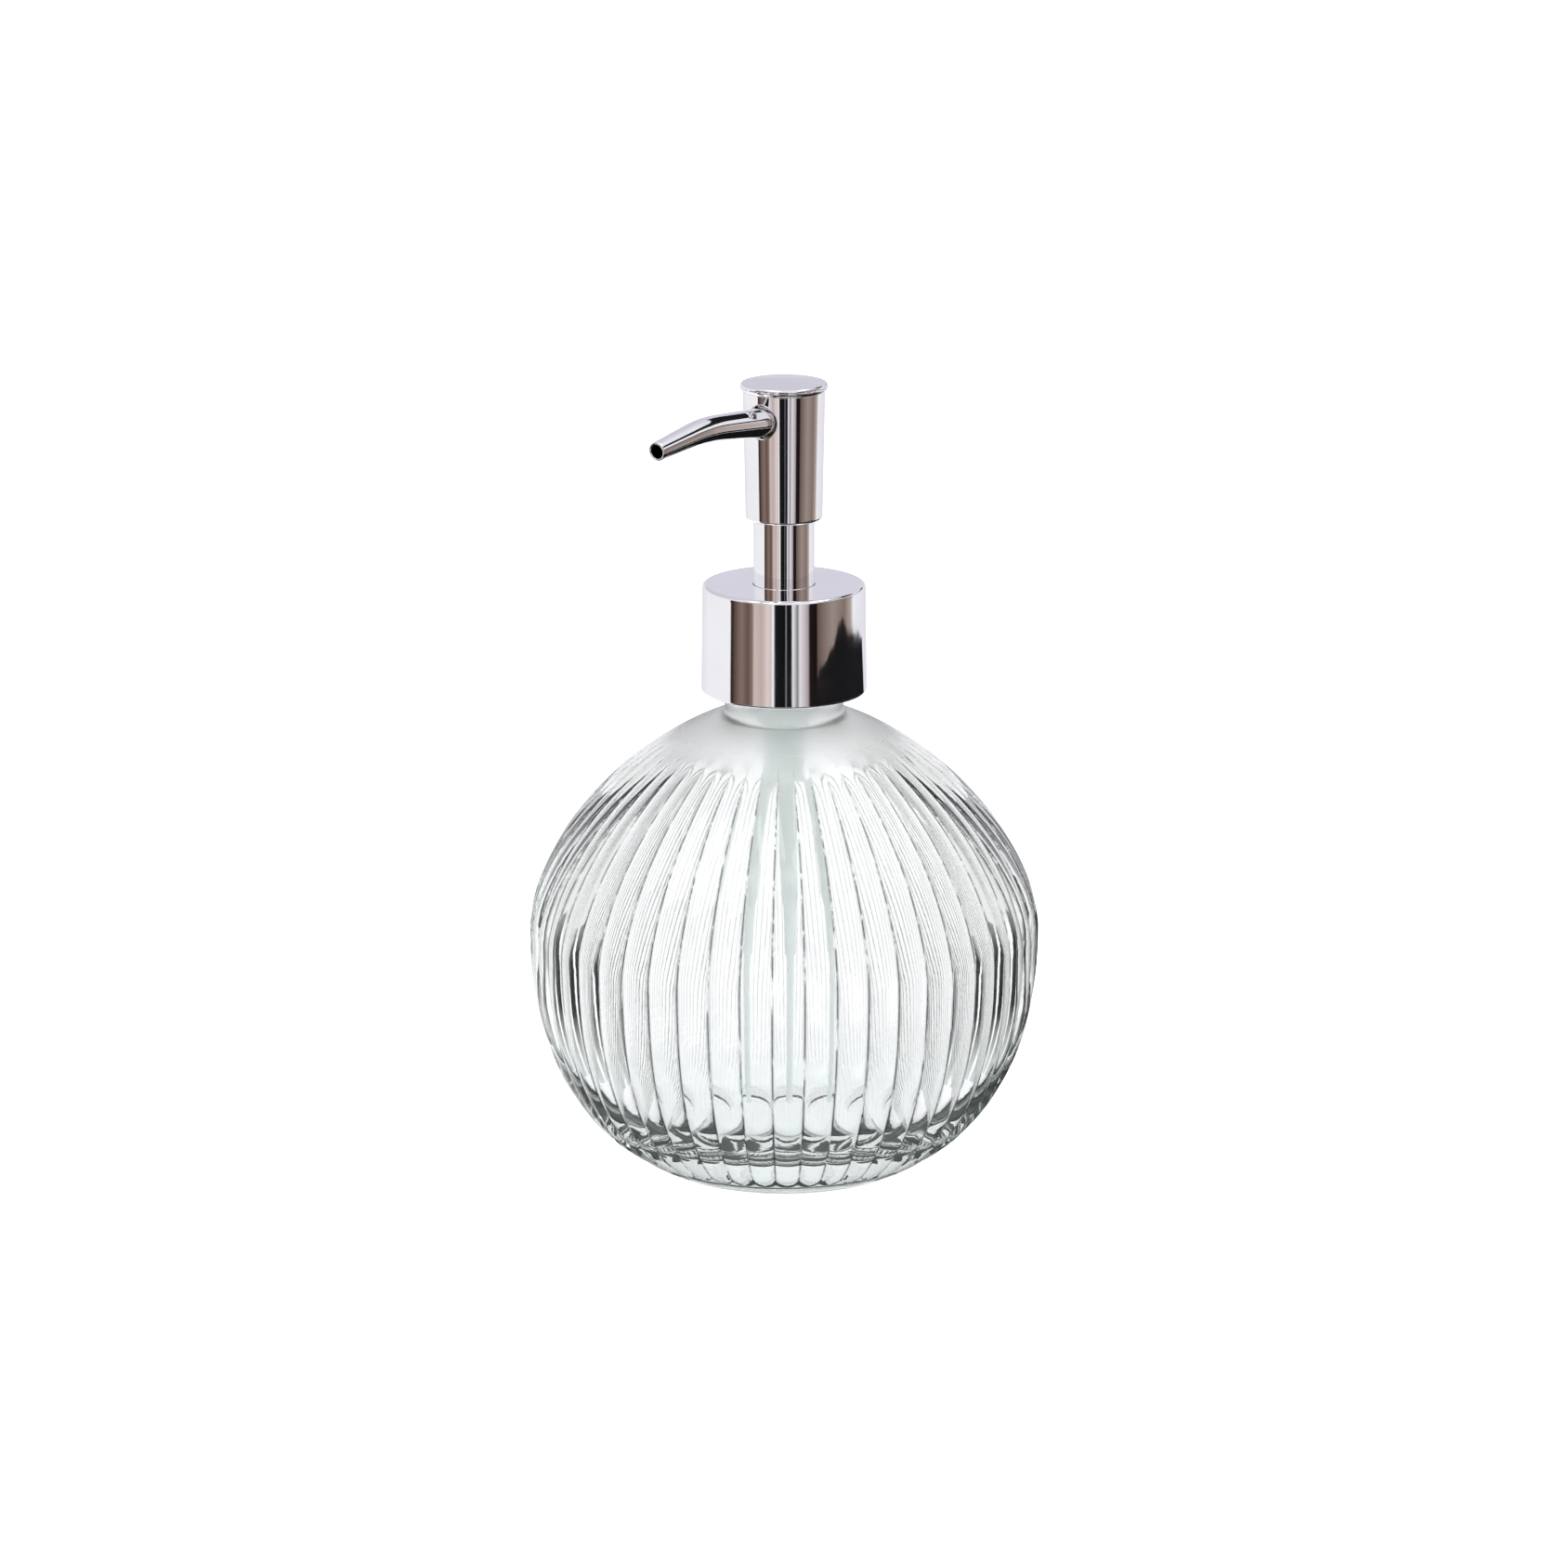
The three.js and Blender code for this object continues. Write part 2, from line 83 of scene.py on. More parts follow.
def softened(outline, radius, closed):
    # Rounds each corner of an outline and adds a point on either side of it, so that
    # the faces next to the corner stay flat in the shading.
    count = len(outline)
    points = []
    for i, corner in enumerate(outline):
        p = Vector(corner[:2])
        if not closed and i in (0, count - 1):
            points.append(p)
            continue
        before = Vector(outline[i - 1][:2]) - p
        after = Vector(outline[(i + 1) % count][:2]) - p
        straight = before.angle(after) > radians(155)
        size = corner[2] if len(corner) > 2 else radius
        reach = min(size, 0.46 * before.length, 0.46 * after.length)
        if straight or reach < 1e-3:
            points.append(p)
            continue
        a = p + before.normalized() * reach
        b = p + after.normalized() * reach
        guard = 0.35 * reach
        points.append(a + before.normalized() * min(guard, 0.1 * before.length))
        points += [curved(a, p, b, k / 6) for k in range(7)]
        points.append(b + after.normalized() * min(guard, 0.1 * after.length))
    return points


def meshObject(name, vertices, faces):
    mesh = bpy.data.meshes.new(name)
    mesh.from_pydata(vertices, [], faces)
    work = bmesh.new()
    work.from_mesh(mesh)
    bmesh.ops.recalc_face_normals(work, faces=work.faces)
    work.to_mesh(mesh)
    work.free()
    mesh.shade_smooth()
    piece = bpy.data.objects.new(name, mesh)
    bpy.context.scene.collection.objects.link(piece)
    return piece


def gridFaces(rows, columns, joined):
    # Quads between rows of points that each go once round; joined closes the last row on the first.
    faces = []
    for i in range(rows if joined else rows - 1):
        j = (i + 1) % rows
        for k in range(columns):
            n = (k + 1) % columns
            faces.append((i * columns + k, i * columns + n, j * columns + n, j * columns + k))
    return faces


def storeValues(piece, name, values):
    # One number at each point of a mesh, for its material to read.
    layer = piece.data.attributes.new(name, "FLOAT", "POINT")
    layer.data.foreach_set("value", values)


def spun(name, profile, angles, shape=None):
    # Turns a profile of (radius, height) points in metres about the Z axis. A profile that
    # starts and ends on the axis is capped there, and any other closes on itself.
    capped = profile[0][0] < 1e-9
    rings = profile[1:-1] if capped else profile
    vertices = []
    for i, (r, z) in enumerate(rings):
        for a in angles:
            point = shape(r, z, a, i) if shape else (r * cos(a), r * sin(a), z)
            vertices.append(point)
    count = len(angles)
    faces = gridFaces(len(rings), count, not capped)
    if capped:
        first = len(vertices)
        vertices += [(0, 0, profile[0][1]), (0, 0, profile[-1][1])]
        last = (len(rings) - 1) * count
        for k in range(count):
            n = (k + 1) % count
            faces.append((first, n, k))
            faces.append((first + 1, last + k, last + n))
    return meshObject(name, vertices, faces)


def turned(name, outline, base, edge=0.25, count=144, shape=None):
    # A piece turned from an outline in millimetres above a base height.
    closed = outline[0][0] > 0
    points = softened(outline, edge, closed)
    profile = [(mm(p.x), base + mm(p.y)) for p in points]
    angles = [2 * pi * k / count for k in range(count)]
    return spun(name, profile, angles, shape)


def ringOutline(inside, outside, top):
    return [(inside, 0), (outside, 0), (outside, top), (inside, top)]


def sweep(name, path, sides, radius):
    # A round bar along a list of points, closed at both ends.
    vertices = []
    side = Vector((1, 0, 0))
    for i, p in enumerate(path):
        ahead = path[min(i + 1, len(path) - 1)] - path[max(i - 1, 0)]
        ahead.normalize()
        side = (side - ahead * side.dot(ahead)).normalized()
        up = ahead.cross(side)
        for k in range(sides):
            a = 2 * pi * k / sides
            vertices.append(p + (side * cos(a) + up * sin(a)) * radius)
    faces = gridFaces(len(path), sides, False)
    last = (len(path) - 1) * sides
    faces.append(tuple(reversed(range(sides))))
    faces.append(tuple(last + k for k in range(sides)))
    return meshObject(name, vertices, faces)


def colour(code):
    # An sRGB hex colour as linear RGBA.
    parts = [int(code[i:i + 2], 16) / 255 for i in (1, 3, 5)]
    linear = [c / 12.92 if c <= 0.04045 else ((c + 0.055) / 1.055) ** 2.4 for c in parts]
    return (*linear, 1)


def perMm(size):
    # How many repeats there are in a metre of a pattern that repeats every so many millimetres.
    return 1000 / size


def addNode(tree, kind, settings, inputs):
    node = tree.nodes.new(kind)
    for name, value in settings.items():
        setattr(node, name, value)
    for name, value in inputs.items():
        if isinstance(value, bpy.types.NodeSocket):
            tree.links.new(value, node.inputs[name])
        else:
            node.inputs[name].default_value = value
    return node


def startMaterial(name):
    material = bpy.data.materials.new(name)
    material.use_nodes = True
    material.node_tree.nodes.clear()
    return material, material.node_tree


def finishMaterial(tree, surface, volume=None):
    ends = {"Surface": surface.outputs[0]}
    if volume:
        ends["Volume"] = volume.outputs[0]
    addNode(tree, "ShaderNodeOutputMaterial", {}, ends)


glassLook = {
    "tint": "#fcfcfc", "smearTint": "#f6f8f7",
    "shine": "#d9e6e0",     # of its mirror light
    # The next colour is painted shade: the near-black of the dark lines along the grooves.
    "paintedGrooveShade": "#0d1513",
    "absorb": "#b2c9c2",    # the green of its own depth, which shows only along the edges
    "density": 3.6,
    # the colour of the painted glow in its depth
    "paintedGlowTint": "#dfe9e6",
    "glow": 1.7,            # painted glow: light it gives off for each metre of its depth, in place of light bounced about inside it
    "ior": 1.52,
    "ripple": 6.0,          # mm between the slow waves that pressing leaves
    "rippleDepth": 0.012,   # mm
    "grain": 0.8,           # mm, the chill marks of the iron mould, drawn coarser than they are
    "grainDepth": 0.003,
    "groovePitting": 8.0,   # how many times deeper the grain gets in the grooves
    "smear": 14.0,          # mm
    "smearRoughness": 0.02,
    "haze": 0.42,           # roughness of the part round the neck, which the fire polish doesn't reach
    "dash": 2.0,            # mm across the dashes of painted shade in the grooves
    "dashSquash": 0.12,     # share of its height that is left of the pattern, which draws the dashes out
    "dashStart": 0.40, "dashFull": 0.49,
}
clearTint = "#fbfcfc"


def letsLightThrough(tree, surface):
    # Light on its way to what is inside or behind goes straight through instead of being bent.
    path = addNode(tree, "ShaderNodeLightPath", {}, {})
    either = addNode(tree, "ShaderNodeMath", {"operation": "MAXIMUM"}, {
        0: path.outputs["Is Shadow Ray"], 1: path.outputs["Is Diffuse Ray"]})
    clear = addNode(tree, "ShaderNodeBsdfTransparent", {}, {"Color": colour(clearTint)})
    return addNode(tree, "ShaderNodeMixShader", {}, {
        0: either.outputs[0], 1: surface.outputs[0], 2: clear.outputs[0]})


def pressedSodaLimeGlass():
    # Soda-lime glass pressed in a ribbed mould and fire-polished: clear, faintly wavy, green in its depth.
    look = glassLook
    material, tree = startMaterial("pressedSodaLimeGlass")
    place = addNode(tree, "ShaderNodeTexCoord", {}, {}).outputs["Object"]
    ripple = addNode(tree, "ShaderNodeTexNoise", {}, {
        "Vector": place, "Scale": perMm(look["ripple"]), "Detail": 2}).outputs["Fac"]
    grain = addNode(tree, "ShaderNodeTexNoise", {}, {
        "Vector": place, "Scale": perMm(look["grain"]), "Detail": 2}).outputs["Fac"]
    inGroove = addNode(tree, "ShaderNodeAttribute", {"attribute_name": "groove"}, {}).outputs["Fac"]
    nearNeck = addNode(tree, "ShaderNodeAttribute", {"attribute_name": "neckHaze"}, {}).outputs["Fac"]
    waves = addNode(tree, "ShaderNodeBump", {}, {
        "Height": ripple, "Distance": mm(look["rippleDepth"]), "Strength": 1.0})
    pitted = addNode(tree, "ShaderNodeMath", {"operation": "MULTIPLY_ADD"}, {
        0: inGroove, 1: look["groovePitting"], 2: 1.0})
    height = addNode(tree, "ShaderNodeMath", {"operation": "MULTIPLY"}, {0: grain, 1: pitted.outputs[0]})
    skin = addNode(tree, "ShaderNodeBump", {}, {
        "Height": height.outputs[0], "Distance": mm(look["grainDepth"]), "Strength": 1.0,
        "Normal": waves.outputs[0]})
    smear = addNode(tree, "ShaderNodeTexNoise", {}, {
        "Vector": place, "Scale": perMm(look["smear"]), "Detail": 4}).outputs["Fac"]
    polish = addNode(tree, "ShaderNodeMapRange", {}, {
        "Value": smear, "From Min": 0.35, "From Max": 0.75, "To Min": 0.0, "To Max": look["smearRoughness"]})
    rough = addNode(tree, "ShaderNodeMath", {"operation": "MULTIPLY_ADD"}, {
        0: nearNeck, 1: look["haze"], 2: polish.outputs[0]})
    tint = addNode(tree, "ShaderNodeMix", {"data_type": "RGBA"}, {
        "Factor": smear, "A": colour(look["tint"]), "B": colour(look["smearTint"])})
    # Painted shade lies in the grooves, in long broken dashes, in place of the dark lines that their
    # refraction shows.
    along = addNode(tree, "ShaderNodeMapping", {}, {"Vector": place, "Scale": (1, 1, look["dashSquash"])})
    streaks = addNode(tree, "ShaderNodeTexNoise", {}, {
        "Vector": along.outputs[0], "Scale": perMm(look["dash"]), "Detail": 4, "Roughness": 0.75})
    dashes = addNode(tree, "ShaderNodeMapRange", {}, {
        "Value": streaks.outputs["Fac"], "From Min": look["dashStart"], "From Max": look["dashFull"]})
    # Where the painted shade falls: the grooves, broken into dashes.
    grooveShadeMask = addNode(tree, "ShaderNodeMath", {"operation": "MULTIPLY"}, {0: inGroove, 1: dashes.outputs[0]})
    shadedTint = addNode(tree, "ShaderNodeMix", {"data_type": "RGBA"}, {
        "Factor": grooveShadeMask.outputs[0], "A": tint.outputs["Result"], "B": colour(look["paintedGrooveShade"])})
    shader = addNode(tree, "ShaderNodeBsdfPrincipled", {}, {
        "Base Color": shadedTint.outputs["Result"], "Roughness": rough.outputs[0], "IOR": look["ior"],
        "Specular Tint": colour(look["shine"]),
        "Transmission Weight": 1.0, "Normal": skin.outputs[0]})
    depth = addNode(tree, "ShaderNodeVolumeAbsorption", {}, {
        "Color": colour(look["absorb"]), "Density": look["density"]})
    # A painted glow in the glass's depth, which lights it from within though it is no lamp.
    paintedGlow = addNode(tree, "ShaderNodeEmission", {}, {
        "Color": colour(look["paintedGlowTint"]), "Strength": look["glow"]})
    volume = addNode(tree, "ShaderNodeAddShader", {}, {0: depth.outputs[0], 1: paintedGlow.outputs[0]})
    finishMaterial(tree, letsLightThrough(tree, shader), volume)
    return material


chromeLook = {
    "clean": "#f3f2f4", "smeared": "#e9e8ec", "cleanRoughness": 0.03, "smearedRoughness": 0.09,
    "smear": 9.0,  # mm
    "peel": 2.4, "peelDepth": 0.004,
}


def chromePlatedAbs():
    # Moulded ABS with bright decorative chrome: a mirror with a faint cool cast, the least orange
    # peel of the moulding under it, and the smears of wet fingers.
    material, tree = startMaterial("chromePlatedAbs")
    place = addNode(tree, "ShaderNodeTexCoord", {}, {}).outputs["Object"]
    look = chromeLook
    smear = addNode(tree, "ShaderNodeTexNoise", {}, {
        "Vector": place, "Scale": perMm(look["smear"]), "Detail": 4, "Roughness": 0.6}).outputs["Fac"]
    haze = addNode(tree, "ShaderNodeMapRange", {}, {
        "Value": smear, "From Min": 0.4, "From Max": 0.8,
        "To Min": look["cleanRoughness"], "To Max": look["smearedRoughness"]})
    cast = addNode(tree, "ShaderNodeMix", {"data_type": "RGBA"}, {
        "Factor": smear, "A": colour(look["clean"]), "B": colour(look["smeared"])})
    waves = addNode(tree, "ShaderNodeTexNoise", {}, {
        "Vector": place, "Scale": perMm(look["peel"]), "Detail": 1}).outputs["Fac"]
    peel = addNode(tree, "ShaderNodeBump", {}, {
        "Height": waves, "Distance": mm(look["peelDepth"]), "Strength": 0.6})
    shader = addNode(tree, "ShaderNodeBsdfPrincipled", {}, {
        "Base Color": cast.outputs["Result"], "Metallic": 1.0, "Roughness": haze.outputs[0],
        "Normal": peel.outputs[0]})
    finishMaterial(tree, shader)
    return material


plasticLook = {
    "white": "#f2f2ee", "whiteShade": "#e6e6e1", "whiteRoughness": 0.42,
    "natural": "#eef2f1", "naturalShade": "#dfe5e3", "naturalRoughness": 0.3, "naturalClearness": 0.55,
    "mottle": 6.0,       # mm
    "uneven": 0.06,      # how far the roughness strays
    "texture": 0.5, "textureDepth": 0.008,
    "scatter": 0.2, "scatterReach": 2.0,
    "ior": 1.49,
}


def mouldedPlastic(name, light, dark, clear, roughness):
    # Injection-moulded polypropylene: waxy and faintly mottled, with the mould's fine texture.
    # Left natural it is milky and lets most of the light through.
    material, tree = startMaterial(name)
    place = addNode(tree, "ShaderNodeTexCoord", {}, {}).outputs["Object"]
    look = plasticLook
    mottle = addNode(tree, "ShaderNodeTexNoise", {}, {
        "Vector": place, "Scale": perMm(look["mottle"]), "Detail": 3}).outputs["Fac"]
    tint = addNode(tree, "ShaderNodeMix", {"data_type": "RGBA"}, {
        "Factor": mottle, "A": colour(light), "B": colour(dark)})
    rough = addNode(tree, "ShaderNodeMapRange", {}, {
        "Value": mottle, "To Min": roughness - look["uneven"], "To Max": roughness + look["uneven"]})
    fine = addNode(tree, "ShaderNodeTexNoise", {}, {
        "Vector": place, "Scale": perMm(look["texture"]), "Detail": 2}).outputs["Fac"]
    texture = addNode(tree, "ShaderNodeBump", {}, {
        "Height": fine, "Distance": mm(look["textureDepth"]), "Strength": 0.5})
    reach = mm(look["scatterReach"])
    shader = addNode(tree, "ShaderNodeBsdfPrincipled", {}, {
        "Base Color": tint.outputs["Result"], "Roughness": rough.outputs[0], "IOR": look["ior"],
        "Transmission Weight": clear, "Subsurface Weight": look["scatter"],
        "Subsurface Radius": (reach, reach, reach), "Subsurface Scale": 1.0, "Normal": texture.outputs[0]})
    finishMaterial(tree, letsLightThrough(tree, shader) if clear else shader)
    return material


foamLook = {"shade": "#d8d5cb", "light": "#f1efe8", "cell": 0.35, "pit": 0.06, "roughness": 0.85}


def polyethyleneFoam():
    # Closed-cell polyethylene foam, die cut from sheet: matt, off-white and finely pitted.
    material, tree = startMaterial("polyethyleneFoam")
    place = addNode(tree, "ShaderNodeTexCoord", {}, {}).outputs["Object"]
    look = foamLook
    cells = addNode(tree, "ShaderNodeTexVoronoi", {}, {
        "Vector": place, "Scale": perMm(look["cell"])}).outputs["Distance"]
    tint = addNode(tree, "ShaderNodeMix", {"data_type": "RGBA"}, {
        "Factor": cells, "A": colour(look["shade"]), "B": colour(look["light"])})
    pits = addNode(tree, "ShaderNodeBump", {}, {
        "Height": cells, "Distance": mm(look["pit"]), "Strength": 0.7})
    shader = addNode(tree, "ShaderNodeBsdfPrincipled", {}, {
        "Base Color": tint.outputs["Result"], "Roughness": look["roughness"], "Normal": pits.outputs[0]})
    finishMaterial(tree, shader)
    return material


steelLook = {
    "shade": "#b9b8b4", "light": "#d8d7d4", "wireRoughness": 0.25, "ballRoughness": 0.1,
    "mark": 0.4, "markDepth": 0.004,
    "drawn": 0.2,  # share of its length that is left of the pattern along the draw
}


def stainlessSteel(name, roughness, stretch):
    # Drawn wire and ground balls of stainless steel: grey, bright, with fine marks along the draw.
    material, tree = startMaterial(name)
    place = addNode(tree, "ShaderNodeTexCoord", {}, {}).outputs["Object"]
    look = steelLook
    along = addNode(tree, "ShaderNodeMapping", {}, {"Vector": place, "Scale": (1, 1, stretch)})
    marks = addNode(tree, "ShaderNodeTexNoise", {}, {
        "Vector": along.outputs[0], "Scale": perMm(look["mark"]), "Detail": 3}).outputs["Fac"]
    tint = addNode(tree, "ShaderNodeMix", {"data_type": "RGBA"}, {
        "Factor": marks, "A": colour(look["shade"]), "B": colour(look["light"])})
    rough = addNode(tree, "ShaderNodeMapRange", {}, {
        "Value": marks, "To Min": roughness * 0.7, "To Max": roughness * 1.4})
    lines = addNode(tree, "ShaderNodeBump", {}, {
        "Height": marks, "Distance": mm(look["markDepth"]), "Strength": 0.5})
    shader = addNode(tree, "ShaderNodeBsdfPrincipled", {}, {
        "Base Color": tint.outputs["Result"], "Metallic": 1.0, "Roughness": rough.outputs[0],
        "Normal": lines.outputs[0]})
    finishMaterial(tree, shader)
    return material


glass = pressedSodaLimeGlass()
chrome = chromePlatedAbs()
whitePlastic = mouldedPlastic(
    "mouldedWhitePolypropylene", plasticLook["white"], plasticLook["whiteShade"],
    0.0, plasticLook["whiteRoughness"])
naturalPlastic = mouldedPlastic(
    "mouldedNaturalPolypropylene", plasticLook["natural"], plasticLook["naturalShade"],
    plasticLook["naturalClearness"], plasticLook["naturalRoughness"])
foam = polyethyleneFoam()
springWire = stainlessSteel("drawnStainlessWire", steelLook["wireRoughness"], steelLook["drawn"])
groundSteel = stainlessSteel("groundStainlessBall", steelLook["ballRoughness"], 1)
print("materials made")

bodyOf = {node: body for body, nodes in record["behaviour"]["bodies"].items() for node in nodes}


def fit(piece, node, material):
    piece.data.materials.append(material)
    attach(piece, bodyOf[node])
    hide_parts(node)


# Heights are in millimetres above the foot.
bottle = {
    "radius": 52.5, "equator": 50.2,
    "shoulderRise": 47.8, "shoulderPower": 1.65,
    "heelDrop": 55.6, "heelPower": 2.37, "heelTop": 4.0,
    "foot": 25.5, "punt": 16.0, "puntRise": 0.8,
    "wall": 2.8, "floor": 7.0, "floorPower": 3.0,
    "neck": 12.0, "bore": 8.7, "flare": 2.4, "land": 0.4, "landLength": 15.0, "lip": 0.6,
}
rib = {
    "count": 50, "depth": 0.9,
    "turn": 3.6,  # degrees to the first crest
    "topRadius": 18.0, "topFade": 14.0,  # where they begin round the neck, and how softly
    "footLine": 4.2, "endLength": 3.4,
    "fullness": 0.72,  # below 1 the ribs are flatter and the grooves between them narrower and steeper
}
# Where the painted shade in the grooves starts on the way from a crest, and where it starts below the neck
# and above the foot; then where the haze round the neck starts and where it is full.
marks = {"grooveShadeFrom": 0.86, "grooveShadeNeck": (22, 32), "grooveShadeFoot": (3, 8), "haze": (30, 15)}
uneven = {"outside": 0.12, "inside": 0.15}  # mm that pressing leaves it out of true
beadThread = {"height": 1.1, "width": 1.9, "start": -11.5, "pitch": 3.2, "turns": 1.25}


def bulge(radius, reach, power, offset):
    return radius * max(1 - (offset / reach) ** power, 0) ** (1 / power)


def offsetOf(at, radius, reach, power):
    return reach * (1 - (at / radius) ** power) ** (1 / power)


def quarter(radius, reach, power, last, steps):
    # Points along a superellipse quarter, closer together where it curves more.
    points = []
    for k in range(steps + 1):
        offset = last * sin(pi / 2 * k / steps)
        points.append((bulge(radius, reach, power, offset), offset))
    return points


def outerProfile():
    b = bottle
    heel = b["equator"] - b["heelTop"]
    lower = quarter(b["radius"], b["heelDrop"], b["heelPower"], heel, 44)
    rise = offsetOf(b["neck"] + b["flare"], b["radius"], b["shoulderRise"], b["shoulderPower"])
    upper = quarter(b["radius"], b["shoulderRise"], b["shoulderPower"], rise, 56)
    points = [(0, b["puntRise"])]
    points += [(b["punt"] * k / 8, b["puntRise"]) for k in range(1, 8)]
    points += [(b["punt"], b["puntRise"] * 0.5), (b["punt"] + 1, 0), (b["foot"] - 3, 0), (b["foot"] - 1.5, 0)]
    heelRadius = lower[-1][0]
    foot = Vector((b["foot"], 0))
    knee = Vector((heelRadius - b["heelTop"] * 1.2, 0.1))
    body = Vector((heelRadius, b["heelTop"]))
    points += [tuple(curved(foot, knee, body, k / 9)) for k in range(1, 9)]  # the heel's rounding
    points += [(r, b["equator"] - offset) for r, offset in reversed(lower)]
    points += [(r, b["equator"] + offset) for r, offset in upper[1:]]
    root = b["equator"] + rise
    start = Vector((b["neck"] + b["flare"], root))
    knee = Vector((b["neck"] + 0.2, root + 0.5))
    end = Vector((b["neck"], root + b["flare"] + 0.6))
    points += [tuple(curved(start, knee, end, k / 8)) for k in range(1, 9)]  # the fillet at its root
    return points


def neckProfile():
    b = bottle
    top = rim * 1000
    land = b["neck"] + b["land"]
    start = top - b["landLength"]
    points = [(b["neck"], start - 0.8), (land, start)]
    steps = 48
    points += [(land, start + (top - b["lip"] - start) * k / steps) for k in range(1, steps + 1)]
    for k in range(1, 6):
        a = pi / 2 * k / 5
        points.append((land - b["lip"] + b["lip"] * cos(a), top - b["lip"] + b["lip"] * sin(a)))
    for k in range(0, 6):
        a = pi / 2 * k / 5
        points.append((b["bore"] + 0.5 - 0.5 * sin(a), top - 0.5 + 0.5 * cos(a)))
    return points


def innerProfile():
    b = bottle
    radius = b["radius"] - b["wall"]
    reach = b["shoulderRise"] - b["wall"]
    drop = b["equator"] - b["floor"]
    rise = offsetOf(b["bore"] + 1.2, radius, reach, b["shoulderPower"])
    upper = quarter(radius, reach, b["shoulderPower"], rise, 30)
    lower = quarter(radius, drop, b["floorPower"], drop * 0.9995, 44)
    root = b["equator"] + rise
    points = [(b["bore"], rim * 1000 - 6), (b["bore"], root + 8), (b["bore"], root + 3)]
    points.append((b["bore"] + 0.25, root + 1.2))
    points += [(r, b["equator"] + offset) for r, offset in reversed(upper)]
    points += [(r, b["equator"] - offset) for r, offset in lower[1:]]
    last = points[-1][0]
    points += [(last * share, b["floor"] + 0.02 * share) for share in (0.8, 0.6, 0.4, 0.2)]
    points.append((0, b["floor"]))
    return points


def ribAngles():
    # Points across each rib crowd towards the grooves, so that these stay sharp.
    shares = [-1, -0.985, -0.95, -0.88, -0.74, -0.5, -0.2, 0.1, 0.4, 0.66, 0.82, 0.92, 0.97, 0.993]
    half = pi / rib["count"]
    turn = radians(rib["turn"])
    return [turn + half * (2 * i + share) for i in range(rib["count"]) for share in shares]


def acrossRib(a):
    # 0 on a rib's crest and 1 in the groove beside it.
    half = pi / rib["count"]
    return abs((a - radians(rib["turn"]) + half) % (2 * half) - half) / half


def ribHeight(r, z, a):
    # 1 on a rib's crest and 0 in the grooves and the foot band; the cap round the neck is smooth.
    across = acrossRib(a)
    if z < bottle["equator"]:
        past = max(1 - (z - rib["footLine"]) / rib["endLength"], 0)
        return max(cos(pi / 2 * min(hypot(across, past), 1)), 0) ** rib["fullness"]
    fade = blendStep(rib["topRadius"], rib["topRadius"] + rib["topFade"], r)
    return 1 - fade * (1 - max(cos(pi / 2 * across), 0) ** rib["fullness"])


def threadHeight(z, a):
    # The bead on the neck: how far it stands out at this height and angle.
    t = beadThread
    total = 0
    for turn in range(3):
        share = turn + (a / (2 * pi)) % 1
        centre = rim * 1000 + t["start"] + share * t["pitch"]
        ends = blendStep(0, 0.12, share) * blendStep(0, 0.12, t["turns"] - share)
        across = abs(z - centre) / (t["width"] / 2)
        if across < 1:
            total = max(total, t["height"] * cos(pi / 2 * across) ** 0.7 * ends)
    return total


def buildBottle():
    outer = outerProfile()
    neckPart = neckProfile()
    inner = innerProfile()
    outerCount = len(outer) - 1
    neckCount = outerCount + len(neckPart)
    profile = [(mm(r), mm(z)) for r, z in outer + neckPart + inner]

    grooves = []  # how near the bottom of a groove each point of the surface is, from 0 to 1; the glass deepens its grain and lays its painted shade there
    hazes = []    # and how near the neck

    def shape(r, z, a, i):
        rr, zz = r * 1000, z * 1000
        body = i < outerCount and rr > bottle["punt"]
        height = ribHeight(rr, zz, a) if body else 1
        upper = zz > bottle["equator"]
        ends = blendStep(*marks["grooveShadeNeck"], rr) if upper else blendStep(*marks["grooveShadeFoot"], zz)
        grooves.append(blendStep(marks["grooveShadeFrom"], 1, acrossRib(a)) * ends if body else 0)
        hazes.append(blendStep(*marks["haze"], rr) if upper and i < outerCount else 0)
        if body:
            depth = rib["depth"] * rr / bottle["radius"]
            rr -= depth * (1 - height) * blendStep(bottle["foot"] - 2, bottle["foot"] + 4, rr)
            wobble = noise.noise(Vector((cos(a) * 3, sin(a) * 3, zz * 0.06)))
            rr += uneven["outside"] * wobble * blendStep(20, 30, rr)
        elif i < neckCount:
            rr += threadHeight(zz, a)
        elif rr > bottle["bore"] + 1:
            # The gather chills unevenly, so the inside is never quite round.
            wave = noise.noise(Vector((cos(a) * 2.2, sin(a) * 2.2, zz * 0.05 + 7)))
            rr += uneven["inside"] * wave * blendStep(bottle["bore"] + 1, 20, rr)
        return (mm(rr) * cos(a), mm(rr) * sin(a), z)

    piece = spun("ribbedBottle", profile, ribAngles(), shape)
    spare = [0.0] * (len(piece.data.vertices) - len(grooves))
    storeValues(piece, "groove", grooves + spare)
    storeValues(piece, "neckHaze", hazes + spare)
    return piece


fit(buildBottle(), "bottle", glass)
print("bottle made")

# From here on heights are in millimetres above the rim of the bottle.
collar = {"draft": 0.4, "wall": 1.0, "plate": 1.2, "edge": 0.8, "hole": 6.3}
collar["bottom"], collar["top"] = heights("collar_shell", rim)
collar["bottomRadius"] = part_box("collar_shell")[1][0] * 1000
liner = {"inside": 13.9, "outside": 15.5, "hole": 10.0, "lead": 1.2, "under": 2.7, "threadDepth": 0.45}


def buildCollar():
    c = collar
    topRadius = c["bottomRadius"] - c["draft"]
    bore = topRadius - c["wall"]
    under = c["top"] - c["plate"]
    return turned("collarShell", [
        (bore, c["bottom"], 0.2), (c["bottomRadius"] - 0.1, c["bottom"], 0.5),
        (topRadius, c["top"], c["edge"]), (c["hole"], c["top"], 0.15),
        (c["hole"], under, 0.15), (bore, under, 0.3),
    ], rim, count=192)


